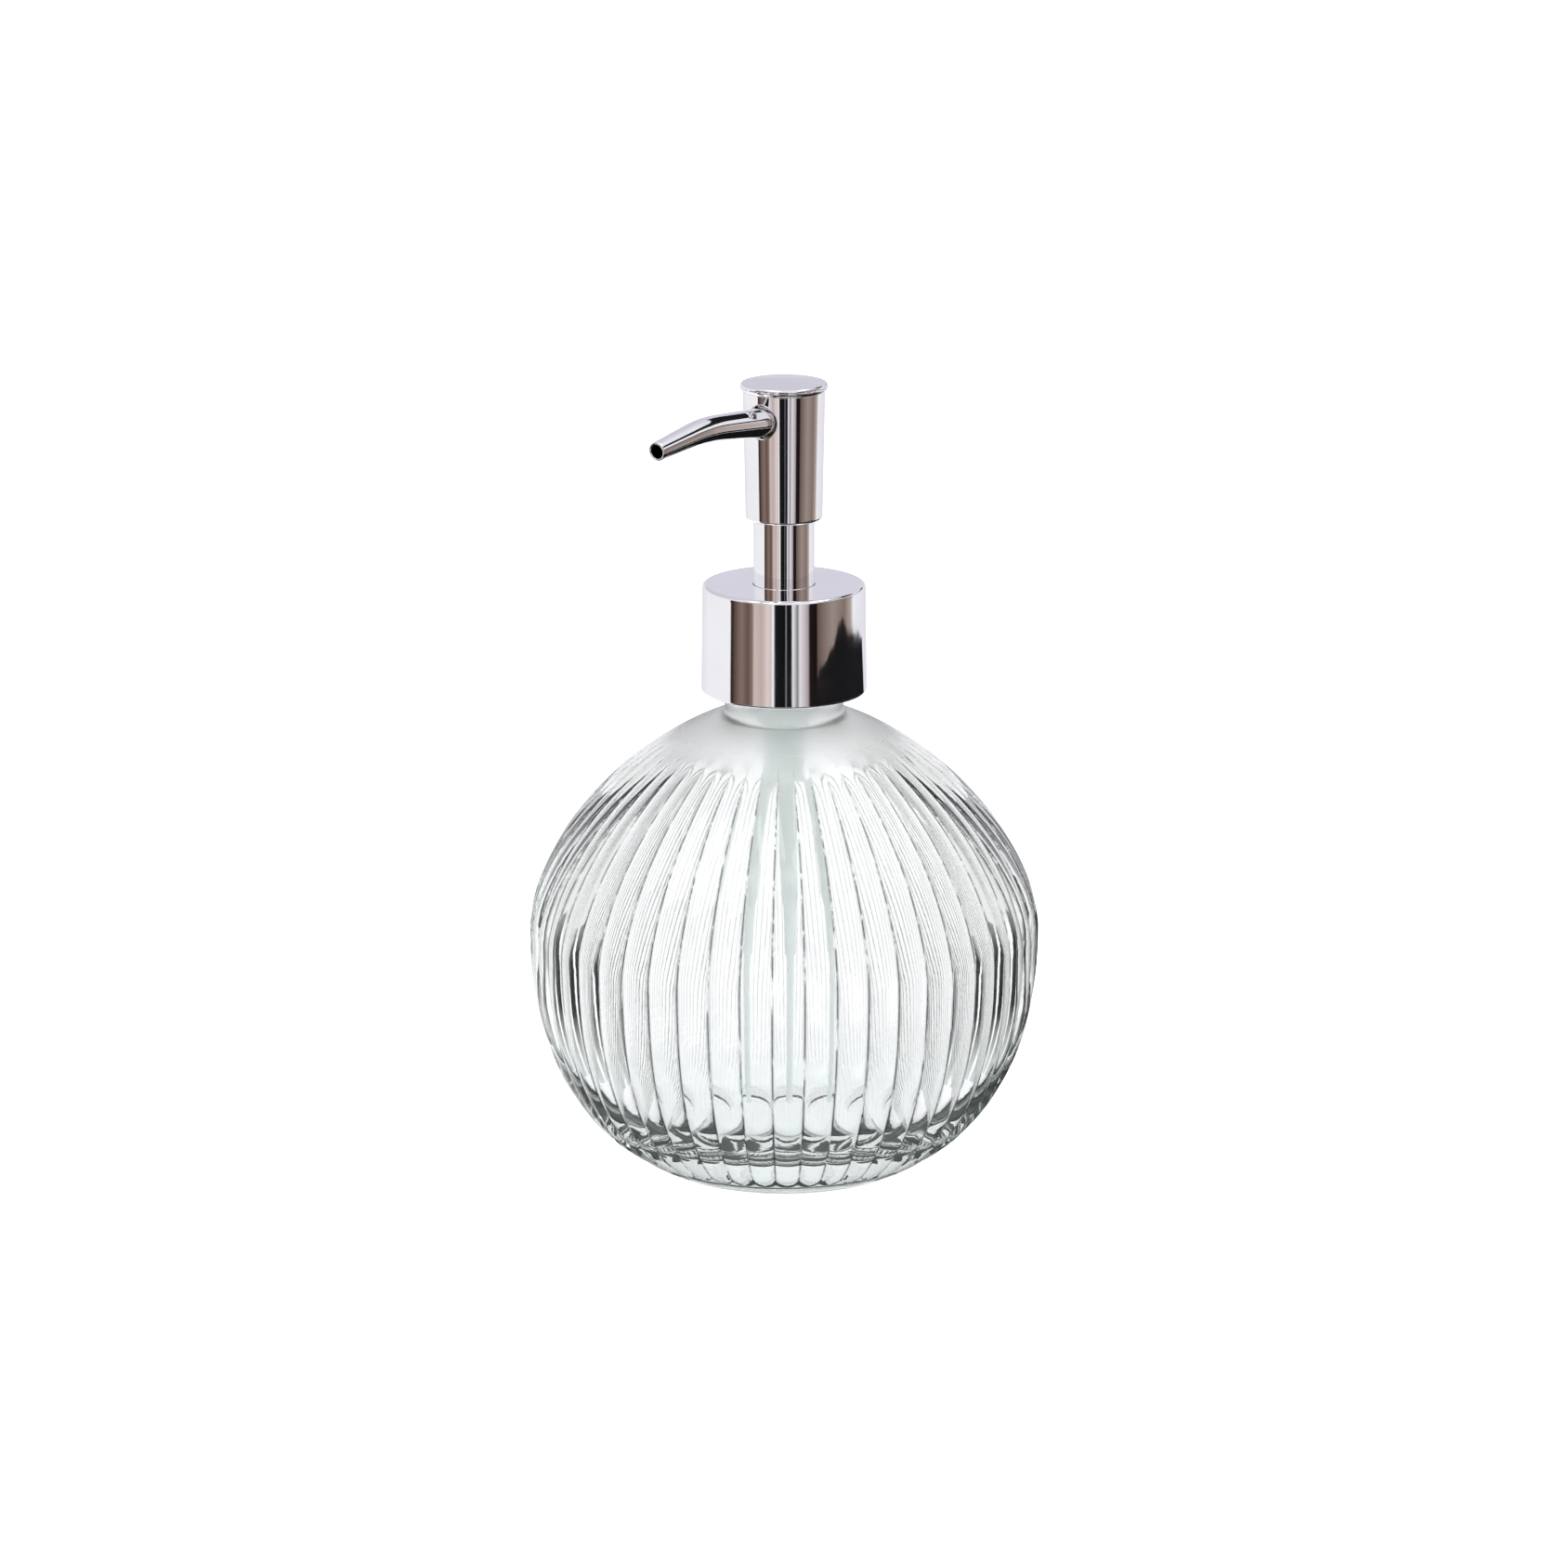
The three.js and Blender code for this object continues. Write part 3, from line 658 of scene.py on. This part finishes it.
def buildLiner():
    # The liner's own thread stands in as a shallow groove that follows the bottle's bead.
    inside, outside, hole, under = liner["inside"], liner["outside"], liner["hole"], liner["under"]
    bottom = collar["bottom"] + liner["lead"]
    top = collar["top"] - collar["plate"]

    def shape(r, z, a, i):
        height = (z - rim) * 1000
        rr = r * 1000
        if rr < inside + 0.05 and height < under - 0.5:
            rr += liner["threadDepth"] * threadHeight(z * 1000, a)
        return (mm(rr) * cos(a), mm(rr) * sin(a), z)

    wall = [(inside, under + (bottom - under) * k / 60) for k in range(61)]
    return turned("closureLiner", [
        *wall[1:], (outside, bottom), (outside, top), (hole, top), (hole, under), (inside, under),
    ], rim, 0.25, 96, shape)


fit(buildCollar(), "collar_shell", chrome)
fit(buildLiner(), "closure_liner", whitePlastic)
print("collar made")

pump = {
    "flange": 12.0, "flangeBottom": 1.0, "flangeTop": 2.4,
    "neckRadius": 6.0, "neckBore": 5.0, "step": -24.0, "barrel": 4.2, "barrelBore": 3.4, "boreEnd": -58.5,
    "seat": -61.0, "seatBore": 1.5, "socketTop": -63.0, "socketEnd": -73.0, "socket": 3.2,
    "tube": 2.2, "tubeWall": 0.7, "tubeBow": 0.7,
    "stem": 2.4, "guideFlange": 9.5, "guideFoot": -21.0, "guideTop": 3.4,
}
gasket = {"inside": 8.8, "outside": 12.0, "thickness": 1.0}
sleeve = {"radius": 6.2, "wall": 1.3, "foot": 9.2, "footThickness": 1.0}
cage = {"outside": 3.3, "inside": 2.4, "hub": 1.1, "thickness": 1.8, "spokeReach": 2.85, "spokeHalf": 0.4}
close = 0.1  # mm between pieces that are pressed or slide together


def buildGasket():
    outline = ringOutline(gasket["inside"], gasket["outside"], gasket["thickness"])
    return turned("neckGasket", outline, rim, 0.15, 96)


def buildChamber():
    p = pump
    socketBore = p["tube"] + close
    return turned("pumpChamber", [
        (p["neckBore"], p["flangeTop"]), (p["neckBore"], p["step"] + 2), (p["barrelBore"], p["step"]),
        (p["barrelBore"], p["boreEnd"]), (p["seatBore"], p["seat"]), (p["seatBore"], p["socketTop"]),
        (socketBore, p["socketTop"]), (socketBore, p["socketEnd"]), (p["socket"], p["socketEnd"]),
        (p["socket"], p["socketTop"]), (p["barrel"], p["seat"] + 1), (p["barrel"], p["step"]),
        (p["neckRadius"], p["step"] + 0.6), (p["neckRadius"], p["flangeBottom"]),
        (p["flange"], p["flangeBottom"]), (p["flange"], p["flangeTop"]),
    ], rim, 0.3, 96)


def buildGuide():
    p = pump
    inside = p["stem"] + close
    outside = p["neckBore"] - close
    return turned("stemGuide", [
        (inside, p["guideFoot"]), (outside, p["guideFoot"]), (outside, p["flangeTop"]),
        (p["guideFlange"], p["flangeTop"]), (p["guideFlange"], p["guideTop"]), (inside, p["guideTop"]),
    ], rim, 0.25, 96)


def buildDipTube():
    # Extruded tube, cut square, with the slight bow that a cut length of coiled tube keeps.
    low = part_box("dip_tube")[0][2]
    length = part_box("dip_tube")[1][2] - low
    inside = pump["tube"] - pump["tubeWall"]
    steps = 24
    outline = [(pump["tube"], length * 1000 * k / steps) for k in range(steps + 1)]
    outline += [(inside, length * 1000 * (1 - k / steps)) for k in range(steps + 1)]

    def shape(r, z, a, i):
        bow = mm(pump["tubeBow"]) * blendStep(0, 1, (low + length - z) / length - 0.25)
        return (r * cos(a) + bow, r * sin(a), z)

    return turned("dipTube", outline, low, 0.12, 48, shape)


def buildSleeve():
    radius, foot = sleeve["radius"], sleeve["foot"]
    bore = radius - sleeve["wall"]
    bottom = pump["guideTop"]
    ledge = bottom + sleeve["footThickness"]
    top = heights("guide_sleeve", rim)[1]
    return turned("guideSleeve", [
        (bore, bottom), (foot, bottom), (foot, ledge, 0.2),
        (radius, ledge, 0.2), (radius, top, 0.3), (bore, top, 0.3),
    ], rim, 0.25, 144)


def buildCage():
    # A ring with a hub and crossed spokes, joined by a boolean.
    c = cage
    low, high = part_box("ball_cage")
    outline = ringOutline(c["inside"], c["outside"], c["thickness"])
    ring = turned("ballCage", outline, low[2], 0.15, 96)
    parts = [turned("cageHub", ringOutline(0, c["hub"], c["thickness"]), low[2], 0.15, 48)]
    reach, half = mm(c["spokeReach"]), mm(c["spokeHalf"])
    for turn in (0, pi / 2):
        corners = [(-reach, -half), (reach, -half), (reach, half), (-reach, half)]
        crossed = [(x * cos(turn) - y * sin(turn), x * sin(turn) + y * cos(turn)) for x, y in corners]
        vertices = [(x, y, z) for z in (low[2], high[2]) for x, y in crossed]
        faces = [(3, 2, 1, 0), (4, 5, 6, 7)] + [(k, (k + 1) % 4, 4 + (k + 1) % 4, 4 + k) for k in range(4)]
        parts.append(meshObject("cageSpoke", vertices, faces))
    for part in parts:
        union = ring.modifiers.new("join", "BOOLEAN")
        union.operation = "UNION"
        union.object = part
    mesh = bpy.data.meshes.new_from_object(ring.evaluated_get(bpy.context.evaluated_depsgraph_get()))
    ring.modifiers.clear()
    ring.data = mesh
    mesh.shade_smooth()
    mesh.set_sharp_from_angle(angle=radians(35))
    for part in parts:
        bpy.data.objects.remove(part)
    return ring


def buildBall(name, node):
    count = 48
    low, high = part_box(node)
    radius = (high[2] - low[2]) / 2
    middle = (high[2] + low[2]) / 2
    arc = [2 * pi * k / count - pi / 2 for k in range(count // 2 + 1)]
    profile = [(radius * cos(a), middle + radius * sin(a)) for a in arc]
    profile[0] = (0, profile[0][1])
    profile[-1] = (0, profile[-1][1])
    return spun(name, profile, [2 * pi * k / count for k in range(count)])


fit(buildGasket(), "neck_gasket", foam)
fit(buildChamber(), "pump_chamber", naturalPlastic)
fit(buildGuide(), "stem_guide", whitePlastic)
fit(buildDipTube(), "dip_tube", naturalPlastic)
fit(buildSleeve(), "guide_sleeve", chrome)
fit(buildCage(), "ball_cage", whitePlastic)
fit(buildBall("inletBall", "inlet_ball"), "inlet_ball", groundSteel)
print("pump body made")

plunger = {"bore": 1.2, "shoulder": -25.5, "spigot": 1.7, "spigotBore": 1.0, "spigotEnd": -33.8}
pistonCup = {"bore": 1.8, "lip": 3.3, "waist": 2.7, "lipDepth": 1.6, "flare": 0.8, "innerLip": 0.3}
retainer = {"bore": 1.0, "outside": 3.1, "sleeve": 1.8, "taper": 0.5, "plate": 1.2, "step": 1.5}
spring = {"wire": 0.35, "coils": 8, "turnPoints": 40, "closed": 0.75}


def buildStem():
    p = plunger
    top = heights("piston_stem", rim)[1]
    return turned("pistonStem", [
        (p["bore"], top), (p["bore"], p["shoulder"]), (p["spigotBore"], p["shoulder"] - 1),
        (p["spigotBore"], p["spigotEnd"]), (p["spigot"], p["spigotEnd"]), (p["spigot"], p["shoulder"]),
        (pump["stem"], p["shoulder"]), (pump["stem"], top),
    ], rim, 0.2, 72)


def buildPistonCup():
    c = pistonCup
    bore, lip, waist, deep = c["bore"], c["lip"], c["waist"], c["lipDepth"]
    neck = deep + c["flare"]
    bottom, top = heights("piston_cup", rim)
    return turned("pistonCup", [
        (bore, bottom + deep), (waist, bottom), (lip, bottom), (lip, bottom + deep), (waist, bottom + neck),
        (waist, top - neck), (lip, top - deep), (lip, top), (waist, top),
        (bore + c["innerLip"], top - deep), (bore, top - deep),
    ], rim, 0.15, 72)


def buildRetainer():
    r = retainer
    low, high = heights("spring_retainer", rim)
    return turned("springRetainer", [
        (r["bore"], low), (r["outside"], low), (r["outside"], low + r["plate"]),
        (r["sleeve"] + r["taper"], high), (r["sleeve"], high), (r["sleeve"], low + r["step"]),
        (r["bore"], low + r["step"]),
    ], rim, 0.15, 72)


def buildSpring():
    # A compression spring: the pitch closes up over the last turn at each end.
    low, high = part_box("return_spring")
    wire = mm(spring["wire"])
    bottom, top = low[2] + wire, high[2] - wire
    radius = high[0] - wire
    count = spring["coils"] * spring["turnPoints"]
    path = []
    for i in range(count + 1):
        turn = i / spring["turnPoints"]
        fromEnd = min(turn, spring["coils"] - turn)
        slack = spring["closed"] * 0.25 * (1 - cos(pi * min(fromEnd, 1)))
        share = turn / spring["coils"]
        towardsEnd = -1 if share < 0.5 else 1
        ends = towardsEnd * slack * (1 - 2 * abs(share - 0.5)) * 0.02
        a = 2 * pi * turn
        height = bottom + (top - bottom) * (share + ends)
        path.append(Vector((radius * cos(a), radius * sin(a), height)))
    piece = sweep("returnSpring", path, 12, wire)
    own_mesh(piece)
    return piece


fit(buildStem(), "piston_stem", whitePlastic)
fit(buildPistonCup(), "piston_cup", naturalPlastic)
fit(buildRetainer(), "spring_retainer", whitePlastic)
fit(buildSpring(), "return_spring", springWire)
fit(buildBall("outletBall", "outlet_ball"), "outlet_ball", groundSteel)
print("plunger made")

# Heights in the head are in millimetres above its own lower edge.
head = {"bore": 6.6, "bottomRadius": 7.8, "topRadius": 8.3, "height": 26.3, "edge": 0.9}
mouth = {"radius": 3.05, "lip": 0.45, "depth": 1.2, "reach": 4.2}  # pressed into the wall round the spout
button = {"radius": 8.8, "thickness": 1.7, "crown": 0.15, "plugWall": 1.3, "plugDepth": 1.8}
core = {
    "bottom": 16.8, "top": 24.2, "boss": 4.3, "bossBottom": 7.4,
    "stemBore": 2.5, "seat": 14.4, "channel": 2.3, "channelTop": 22.4,
}
spout = {
    "height": 21.0, "bendReach": 27.6, "bendRise": 1.8, "tipReach": 43.2, "tipRise": 0.1, "bendLength": 5.0,
    "root": 2.95, "bend": 2.6, "tip": 1.9, "bore": 1.45, "spigot": 2.1, "spigotEnd": 3.0, "lip": 0.22,
}
rootPoint = Vector((0, -head["topRadius"], spout["height"]))
bendPoint = Vector((0, -spout["bendReach"], spout["height"] + spout["bendRise"]))
tipPoint = Vector((0, -spout["tipReach"], spout["height"] + spout["tipRise"]))
rootWay = (bendPoint - rootPoint).normalized()
tipWay = (tipPoint - bendPoint).normalized()


def buildHeadShell():
    # The wall has close rows of points where the mouth is, for its rounded lip.
    rows = 64
    low, high = spout["height"] - mouth["reach"], spout["height"] + mouth["reach"]
    slope = (head["topRadius"] - head["bottomRadius"]) / head["height"]
    wall = [low + (high - low) * k / rows for k in range(rows + 1)]

    def shape(r, z, a, i):
        point = Vector((r * cos(a), r * sin(a), z))
        if point.y < 0 and r * 1000 > head["bore"] + 0.6:
            local = Vector((point.x, point.y, z - headFoot)) * 1000 - rootPoint
            away = (local - rootWay * local.dot(rootWay)).length
            inward = mouth["depth"] * blendStep(0, 1, (mouth["radius"] + mouth["lip"] - away) / mouth["lip"])
            point.x -= mm(inward) * cos(a)
            point.y -= mm(inward) * sin(a)
        return point

    return turned("headShell", [
        (head["bore"], 0, 0.2), (head["bottomRadius"], 0, head["edge"]),
        *[(head["bottomRadius"] + slope * h, h) for h in wall],
        (head["topRadius"], head["height"], 0.2), (head["bore"], head["height"], 0.2),
    ], headFoot, 0.2, 384, shape)


def buildButton():
    b = button
    under = head["height"]
    top = under + b["thickness"]
    foot = under - b["plugDepth"]
    plug = head["bore"] - close
    bore = plug - b["plugWall"]
    return turned("topButton", [
        (0, under), (bore, under), (bore, foot), (plug, foot), (plug, under), (b["radius"], under, 0.95),
        (b["radius"], top - b["crown"], 0.55), (b["radius"] - 2.5, top - 0.03), (0, top),
    ], headFoot, 0.2, 192)


def buildCore():
    c = core
    outside = head["bore"] - close
    return turned("headCore", [
        (0, c["top"]), (outside, c["top"]), (outside, c["bottom"]), (c["boss"], c["bottom"]),
        (c["boss"], c["bossBottom"]), (c["stemBore"], c["bossBottom"]), (c["stemBore"], c["seat"]),
        (c["channel"], c["seat"]), (c["channel"], c["channelTop"]), (0, c["channelTop"]),
    ], headFoot, 0.25, 96)


def spoutPath():
    # Straight from the core, round the bend and straight to the tip, as points in the head's millimetres.
    start = rootPoint + rootWay * (spout["spigotEnd"] - head["topRadius"])
    bendStart = bendPoint - rootWay * spout["bendLength"]
    bendEnd = bendPoint + tipWay * spout["bendLength"]
    points = [start.lerp(bendStart, k / 40) for k in range(40)]
    points += [curved(bendStart, bendPoint, bendEnd, k / 20) for k in range(20)]
    points += [bendEnd.lerp(tipPoint, k / 20) for k in range(21)]
    return points


def buildSpout():
    s = spout
    path = spoutPath()
    shoulder = head["bore"] + 0.3
    lip = s["lip"]

    def outside(reach):
        if reach < shoulder:
            return s["spigot"]
        if reach < s["bendReach"]:
            return s["root"] + (s["bend"] - s["root"]) * (reach - shoulder) / (s["bendReach"] - shoulder)
        past = (reach - s["bendReach"]) / (s["tipReach"] - s["bendReach"])
        return s["bend"] + (s["tip"] - s["bend"]) * past

    # Each ring is a place along the path and a radius: out along the outside, back along the bore.
    rings = [(p, outside(-p.y)) for p in path]
    rings[-1] = (path[-1] - tipWay * lip, s["tip"])
    for k in range(1, 6):
        a = pi / 2 * k / 5
        rings.append((path[-1] - tipWay * lip * (1 - sin(a)), s["tip"] - lip * (1 - cos(a))))
    rings.append((path[-1], s["bore"] + 0.1))
    rings.append((path[-1] - tipWay * 0.1, s["bore"]))
    rings += [(p, s["bore"]) for p in reversed(path[:-1])]
    vertices = []
    sides = 64
    for i, (p, radius) in enumerate(rings):
        near = min(range(len(path)), key=lambda k: (path[k] - p).length)
        ahead = (path[min(near + 1, len(path) - 1)] - path[max(near - 1, 0)]).normalized()
        side = Vector((1, 0, 0))
        up = ahead.cross(side)
        for k in range(sides):
            a = 2 * pi * k / sides
            point = p + (side * cos(a) + up * sin(a)) * radius
            vertices.append((mm(point.x), mm(point.y), headFoot + mm(point.z)))
    return meshObject("bentSpout", vertices, gridFaces(len(rings), sides, True))


fit(buildHeadShell(), "head_shell", chrome)
fit(buildCore(), "head_core", whitePlastic)
fit(buildButton(), "top_button", chrome)
fit(buildSpout(), "spout", chrome)
print("head made")

studio = {
    "cameraTurn": 35.0,       # degrees from the spout's direction to the camera's
    "cameraDistance": 1.0, "cameraHeight": 0.3617, "aim": 0.0797, "lens": 116.3,
    "cardRadius": 0.32, "cardHeight": 0.215, "upperHeight": 0.62,
    "skyLevel": 0.9, "whiteLevel": 1.15,  # the room's light, and the white behind everything
}

# What stands round the table, as the mirror finish shows it: degrees from the camera's side,
# counted to the camera's right, and the colour there. It changes evenly from each to the next.
surroundings = [
    (-180, "#dddbe7"), (-130, "#fcfcff"), (-79, "#ffffff"), (-77.5, "#2c2628"), (-74, "#3a302f"),
    (-72, "#5a4942"), (-60, "#8b766d"), (-50, "#6a564e"), (-43, "#947e75"), (-41.5, "#d6c6c0"),
    (-30, "#c9b6ae"), (-22, "#e8dcd8"), (-17, "#d9cac5"), (-16, "#ffffff"), (-13.5, "#ffffff"),
    (-12.5, "#1c1c20"), (1.5, "#141417"), (2.5, "#a9a7ab"), (3.5, "#141417"), (10, "#1e1e22"),
    (11.5, "#fbfafc"), (19, "#6d696e"), (20.5, "#f0eef2"), (33, "#b3a6a7"), (35, "#241a1c"),
    (45, "#1a1315"), (47, "#6a5a54"), (70, "#a3938b"), (92, "#8a7970"), (106, "#bdb0a9"),
    (111, "#fbfafd"), (180, "#dddbe7"),
]
upperSurroundings = [
    (-180, "#d6d4e0"), (-120, "#dad8e3"), (-70, "#f2f1f7"), (50, "#fbfbfd"), (125, "#f6f6fa"),
    (180, "#d6d4e0"),
]
darkHill = [  # degrees, and how high it is there in metres
    (36, 0.024), (42, 0.036), (50, 0.040), (60, 0.041), (66, 0.044), (72, 0.0445), (80, 0.049), (88, 0.0505),
    (93, 0.048), (98, 0.0455), (108, 0.0445), (124, 0.042), (138, 0.039), (146, 0.020),
]
# A dark sheet that paints shade on the chrome's undersides.
paintedShadeFloor = {"from": -80, "to": 150, "near": 0.03, "far": 0.3, "lift": 0.0008}
windowBars = [(48, 165, 0.215, 0.245), (48, 165, 0.33, 0.44), (-62, -24, 0.28, 0.33)]  # from, to, low, high
sideFlags = [  # from and to, in degrees
    (-116, -106), (-102, -93), (-89, -81), (-77, -70), (-66, -61),
    (61, 66), (70, 78), (82, 91), (94, 102), (106, 117),
]
flagShape = {"high": 0.07, "near": 0.06, "far": 0.31, "dark": "#18211f", "pale": "#dfe6e4"}
# The floor card's colour is painted shade for the chrome's undersides.
cardPaint = {"hill": "#1b1a1c", "floor": "#161618", "bar": "#1d1c1f"}
tableLook = {"tint": "#f7f7f8", "mottle": "#f3f3f5", "spacing": 60, "roughness": 0.7, "burnt": 0.5}
softLights = [  # name, azimuth, height, distance, size and watts
    ("keyLight", -50, 1.3, 0.9, 0.9, 8), ("fillLight", 100, 1.3, 0.9, 0.9, 5),
]


def around(azimuth, radius):
    a = radians(studio["cameraTurn"] + azimuth) - pi / 2
    return radius * cos(a), radius * sin(a)


def setStage(card, seenBy):
    # A card that only mirror reflections see, or only what shows through the glass.
    card.visible_camera = False
    card.visible_diffuse = False
    card.visible_shadow = False
    card.visible_glossy = seenBy == "mirrors"
    card.visible_transmission = seenBy == "glass"


def paint(name, code):
    material, tree = startMaterial(name)
    shader = addNode(tree, "ShaderNodeEmission", {}, {"Color": colour(code), "Strength": 1.0})
    finishMaterial(tree, shader)
    return material


def turns(start, end, steps):
    return [start + (end - start) * k / steps for k in range(steps + 1)]


def band(name, pairs):
    # A band between two edges, from pairs of points on them: azimuth, radius and height.
    vertices = [(*around(azimuth, radius), height) for pair in pairs for azimuth, radius, height in pair]
    faces = [(2 * k, 2 * k + 2, 2 * k + 3, 2 * k + 1) for k in range(len(pairs) - 1)]
    return meshObject(name, vertices, faces)


def upright(radius, low, high, azimuths):
    return [((azimuth, radius, low), (azimuth, radius, high)) for azimuth in azimuths]


def standCard(name, pairs, code):
    card = band(name, pairs)
    card.data.materials.append(paint(name + "Paint", code))
    setStage(card, "mirrors")


def standRing(name, low, high, stops):
    # An upright ring whose colour runs through the stops once round.
    steps = 180
    ring = band(name, upright(studio["cardRadius"], low, high, turns(-180, 180, steps)))
    storeValues(ring, "turnShare", [k / steps for k in range(steps + 1) for edge in range(2)])
    material, tree = startMaterial(name + "Paint")
    share = addNode(tree, "ShaderNodeAttribute", {"attribute_name": "turnShare"}, {}).outputs["Fac"]
    ramp = addNode(tree, "ShaderNodeValToRGB", {}, {"Fac": share})
    elements = ramp.color_ramp.elements
    while len(elements) < len(stops):
        elements.new(0.5)
    for element, (azimuth, code) in zip(elements, stops):
        element.position = (azimuth + 180) / 360
        element.color = colour(code)
    shader = addNode(tree, "ShaderNodeEmission", {}, {"Color": ramp.outputs["Color"], "Strength": 1.0})
    finishMaterial(tree, shader)
    ring.data.materials.append(material)
    setStage(ring, "mirrors")


def standDarkCards():
    # Something dark and low on the table, to the right of it.
    behind = studio["cardRadius"] - 0.01
    standCard("darkHill", [
        ((azimuth, behind, 0.001), (azimuth, behind, height)) for azimuth, height in darkHill
    ], cardPaint["hill"])
    # A dark sheet on the table in front of it, which only surfaces that face down mirror: painted shade on
    # the chrome's undersides.
    d = paintedShadeFloor
    standCard("paintedShadeFloor", [
        ((azimuth, d["near"], d["lift"]), (azimuth, d["far"], d["lift"]))
        for azimuth in turns(d["from"], d["to"], 20)
    ], cardPaint["floor"])
    # The dark bars of a window, too high for upright walls to show and drawn out by the round ones.
    radius = studio["cardRadius"] - 0.006
    for i, (start, end, low, high) in enumerate(windowBars):
        standCard("windowBar%d" % i, upright(radius, low, high, turns(start, end, 24)), cardPaint["bar"])


def standFlags():
    # Dark flags at both sides, standing and lying, draw the edges of the glass.
    f = flagShape
    material, tree = startMaterial("flagPaint")
    share = addNode(tree, "ShaderNodeAttribute", {"attribute_name": "nearness"}, {}).outputs["Fac"]
    tint = addNode(tree, "ShaderNodeMix", {"data_type": "RGBA"}, {
        "Factor": share, "A": colour(f["dark"]), "B": colour(f["pale"])})
    shader = addNode(tree, "ShaderNodeEmission", {}, {"Color": tint.outputs["Result"], "Strength": 1.0})
    finishMaterial(tree, shader)
    middle = (f["near"] * 2 + f["far"]) / 3
    lift = 0.0006
    outline = [(f["near"], lift, 1.0), (middle, lift, 0.0), (f["far"], lift, 0.0), (f["far"], f["high"], 0.4)]
    count = len(outline)
    steps = 4
    for i, (start, end) in enumerate(sideFlags):
        vertices = []
        shares = []
        for azimuth in turns(start, end, steps):
            for radius, height, nearness in outline:
                vertices.append((*around(azimuth, radius), height))
                shares.append(nearness)
        faces = []
        for k in range(steps):
            for j in range(count - 1):
                n = count * k + j
                faces.append((n, n + 1, n + count + 1, n + count))
        flag = meshObject("sideFlag%d" % i, vertices, faces)
        storeValues(flag, "nearness", shares)
        flag.data.materials.append(material)
        setStage(flag, "glass")


standRing("surroundings", 0.001, studio["cardHeight"], surroundings)
standRing("upperSurroundings", studio["cardHeight"], studio["upperHeight"], upperSurroundings)
standDarkCards()
standFlags()


def buildFloor():
    look = tableLook
    size = 3.0
    vertices = [(-size, -size, 0), (size, -size, 0), (size, size, 0), (-size, size, 0)]
    floor = meshObject("floor", vertices, [(0, 1, 2, 3)])
    material, tree = startMaterial("paleTable")
    place = addNode(tree, "ShaderNodeTexCoord", {}, {}).outputs["Object"]
    mottle = addNode(tree, "ShaderNodeTexNoise", {}, {
        "Vector": place, "Scale": perMm(look["spacing"]), "Detail": 2.0})
    tint = addNode(tree, "ShaderNodeMix", {"data_type": "RGBA"}, {
        "Factor": mottle.outputs[0], "A": colour(look["tint"]), "B": colour(look["mottle"])})
    bare = addNode(tree, "ShaderNodeBsdfPrincipled", {}, {
        "Base Color": tint.outputs["Result"], "Roughness": look["roughness"]})
    # Seen directly the table is burnt out to white, and through the glass it is just below.
    burnt = addNode(tree, "ShaderNodeEmission", {}, {"Color": colour("#ffffff"), "Strength": look["burnt"]})
    both = addNode(tree, "ShaderNodeAddShader", {}, {0: bare.outputs[0], 1: burnt.outputs[0]})
    path = addNode(tree, "ShaderNodeLightPath", {}, {})
    shader = addNode(tree, "ShaderNodeMixShader", {}, {
        0: path.outputs["Is Camera Ray"], 1: bare.outputs[0], 2: both.outputs[0]})
    finishMaterial(tree, shader)
    floor.data.materials.append(material)


def buildWorld():
    world = bpy.data.worlds.new("softRoom")
    world.use_nodes = True
    tree = world.node_tree
    tree.nodes.clear()
    path = addNode(tree, "ShaderNodeLightPath", {}, {})
    level = addNode(tree, "ShaderNodeMapRange", {}, {
        "Value": path.outputs["Is Camera Ray"], "To Min": studio["skyLevel"], "To Max": studio["whiteLevel"]})
    sky = addNode(tree, "ShaderNodeBackground", {}, {
        "Color": colour("#ffffff"), "Strength": level.outputs[0]})
    addNode(tree, "ShaderNodeOutputWorld", {}, {"Surface": sky.outputs[0]})
    bpy.context.scene.world = world


def addSoftLight(name, azimuth, height, distance, size, power):
    lamp = bpy.data.lights.new(name, "AREA")
    lamp.size = size
    lamp.energy = power
    light = bpy.data.objects.new(name, lamp)
    light.location = (*around(azimuth, distance), height)
    towards = Vector((0, 0, 0.08)) - light.location
    light.rotation_euler = towards.to_track_quat("-Z", "Y").to_euler()
    bpy.context.scene.collection.objects.link(light)


def addCamera():
    lens = bpy.data.cameras.new("studioCamera")
    lens.lens = studio["lens"]
    lens.sensor_width = 36
    lens.clip_end = 20
    camera = bpy.data.objects.new("studioCamera", lens)
    camera.location = (*around(0, studio["cameraDistance"]), studio["cameraHeight"])
    towards = Vector((0, 0, studio["aim"])) - camera.location
    camera.rotation_euler = towards.to_track_quat("-Z", "Y").to_euler()
    bpy.context.scene.collection.objects.link(camera)
    bpy.context.scene.camera = camera


buildFloor()
buildWorld()
for light in softLights:
    addSoftLight(*light)
addCamera()
bpy.context.scene.view_settings.view_transform = "Standard"
print("studio set")
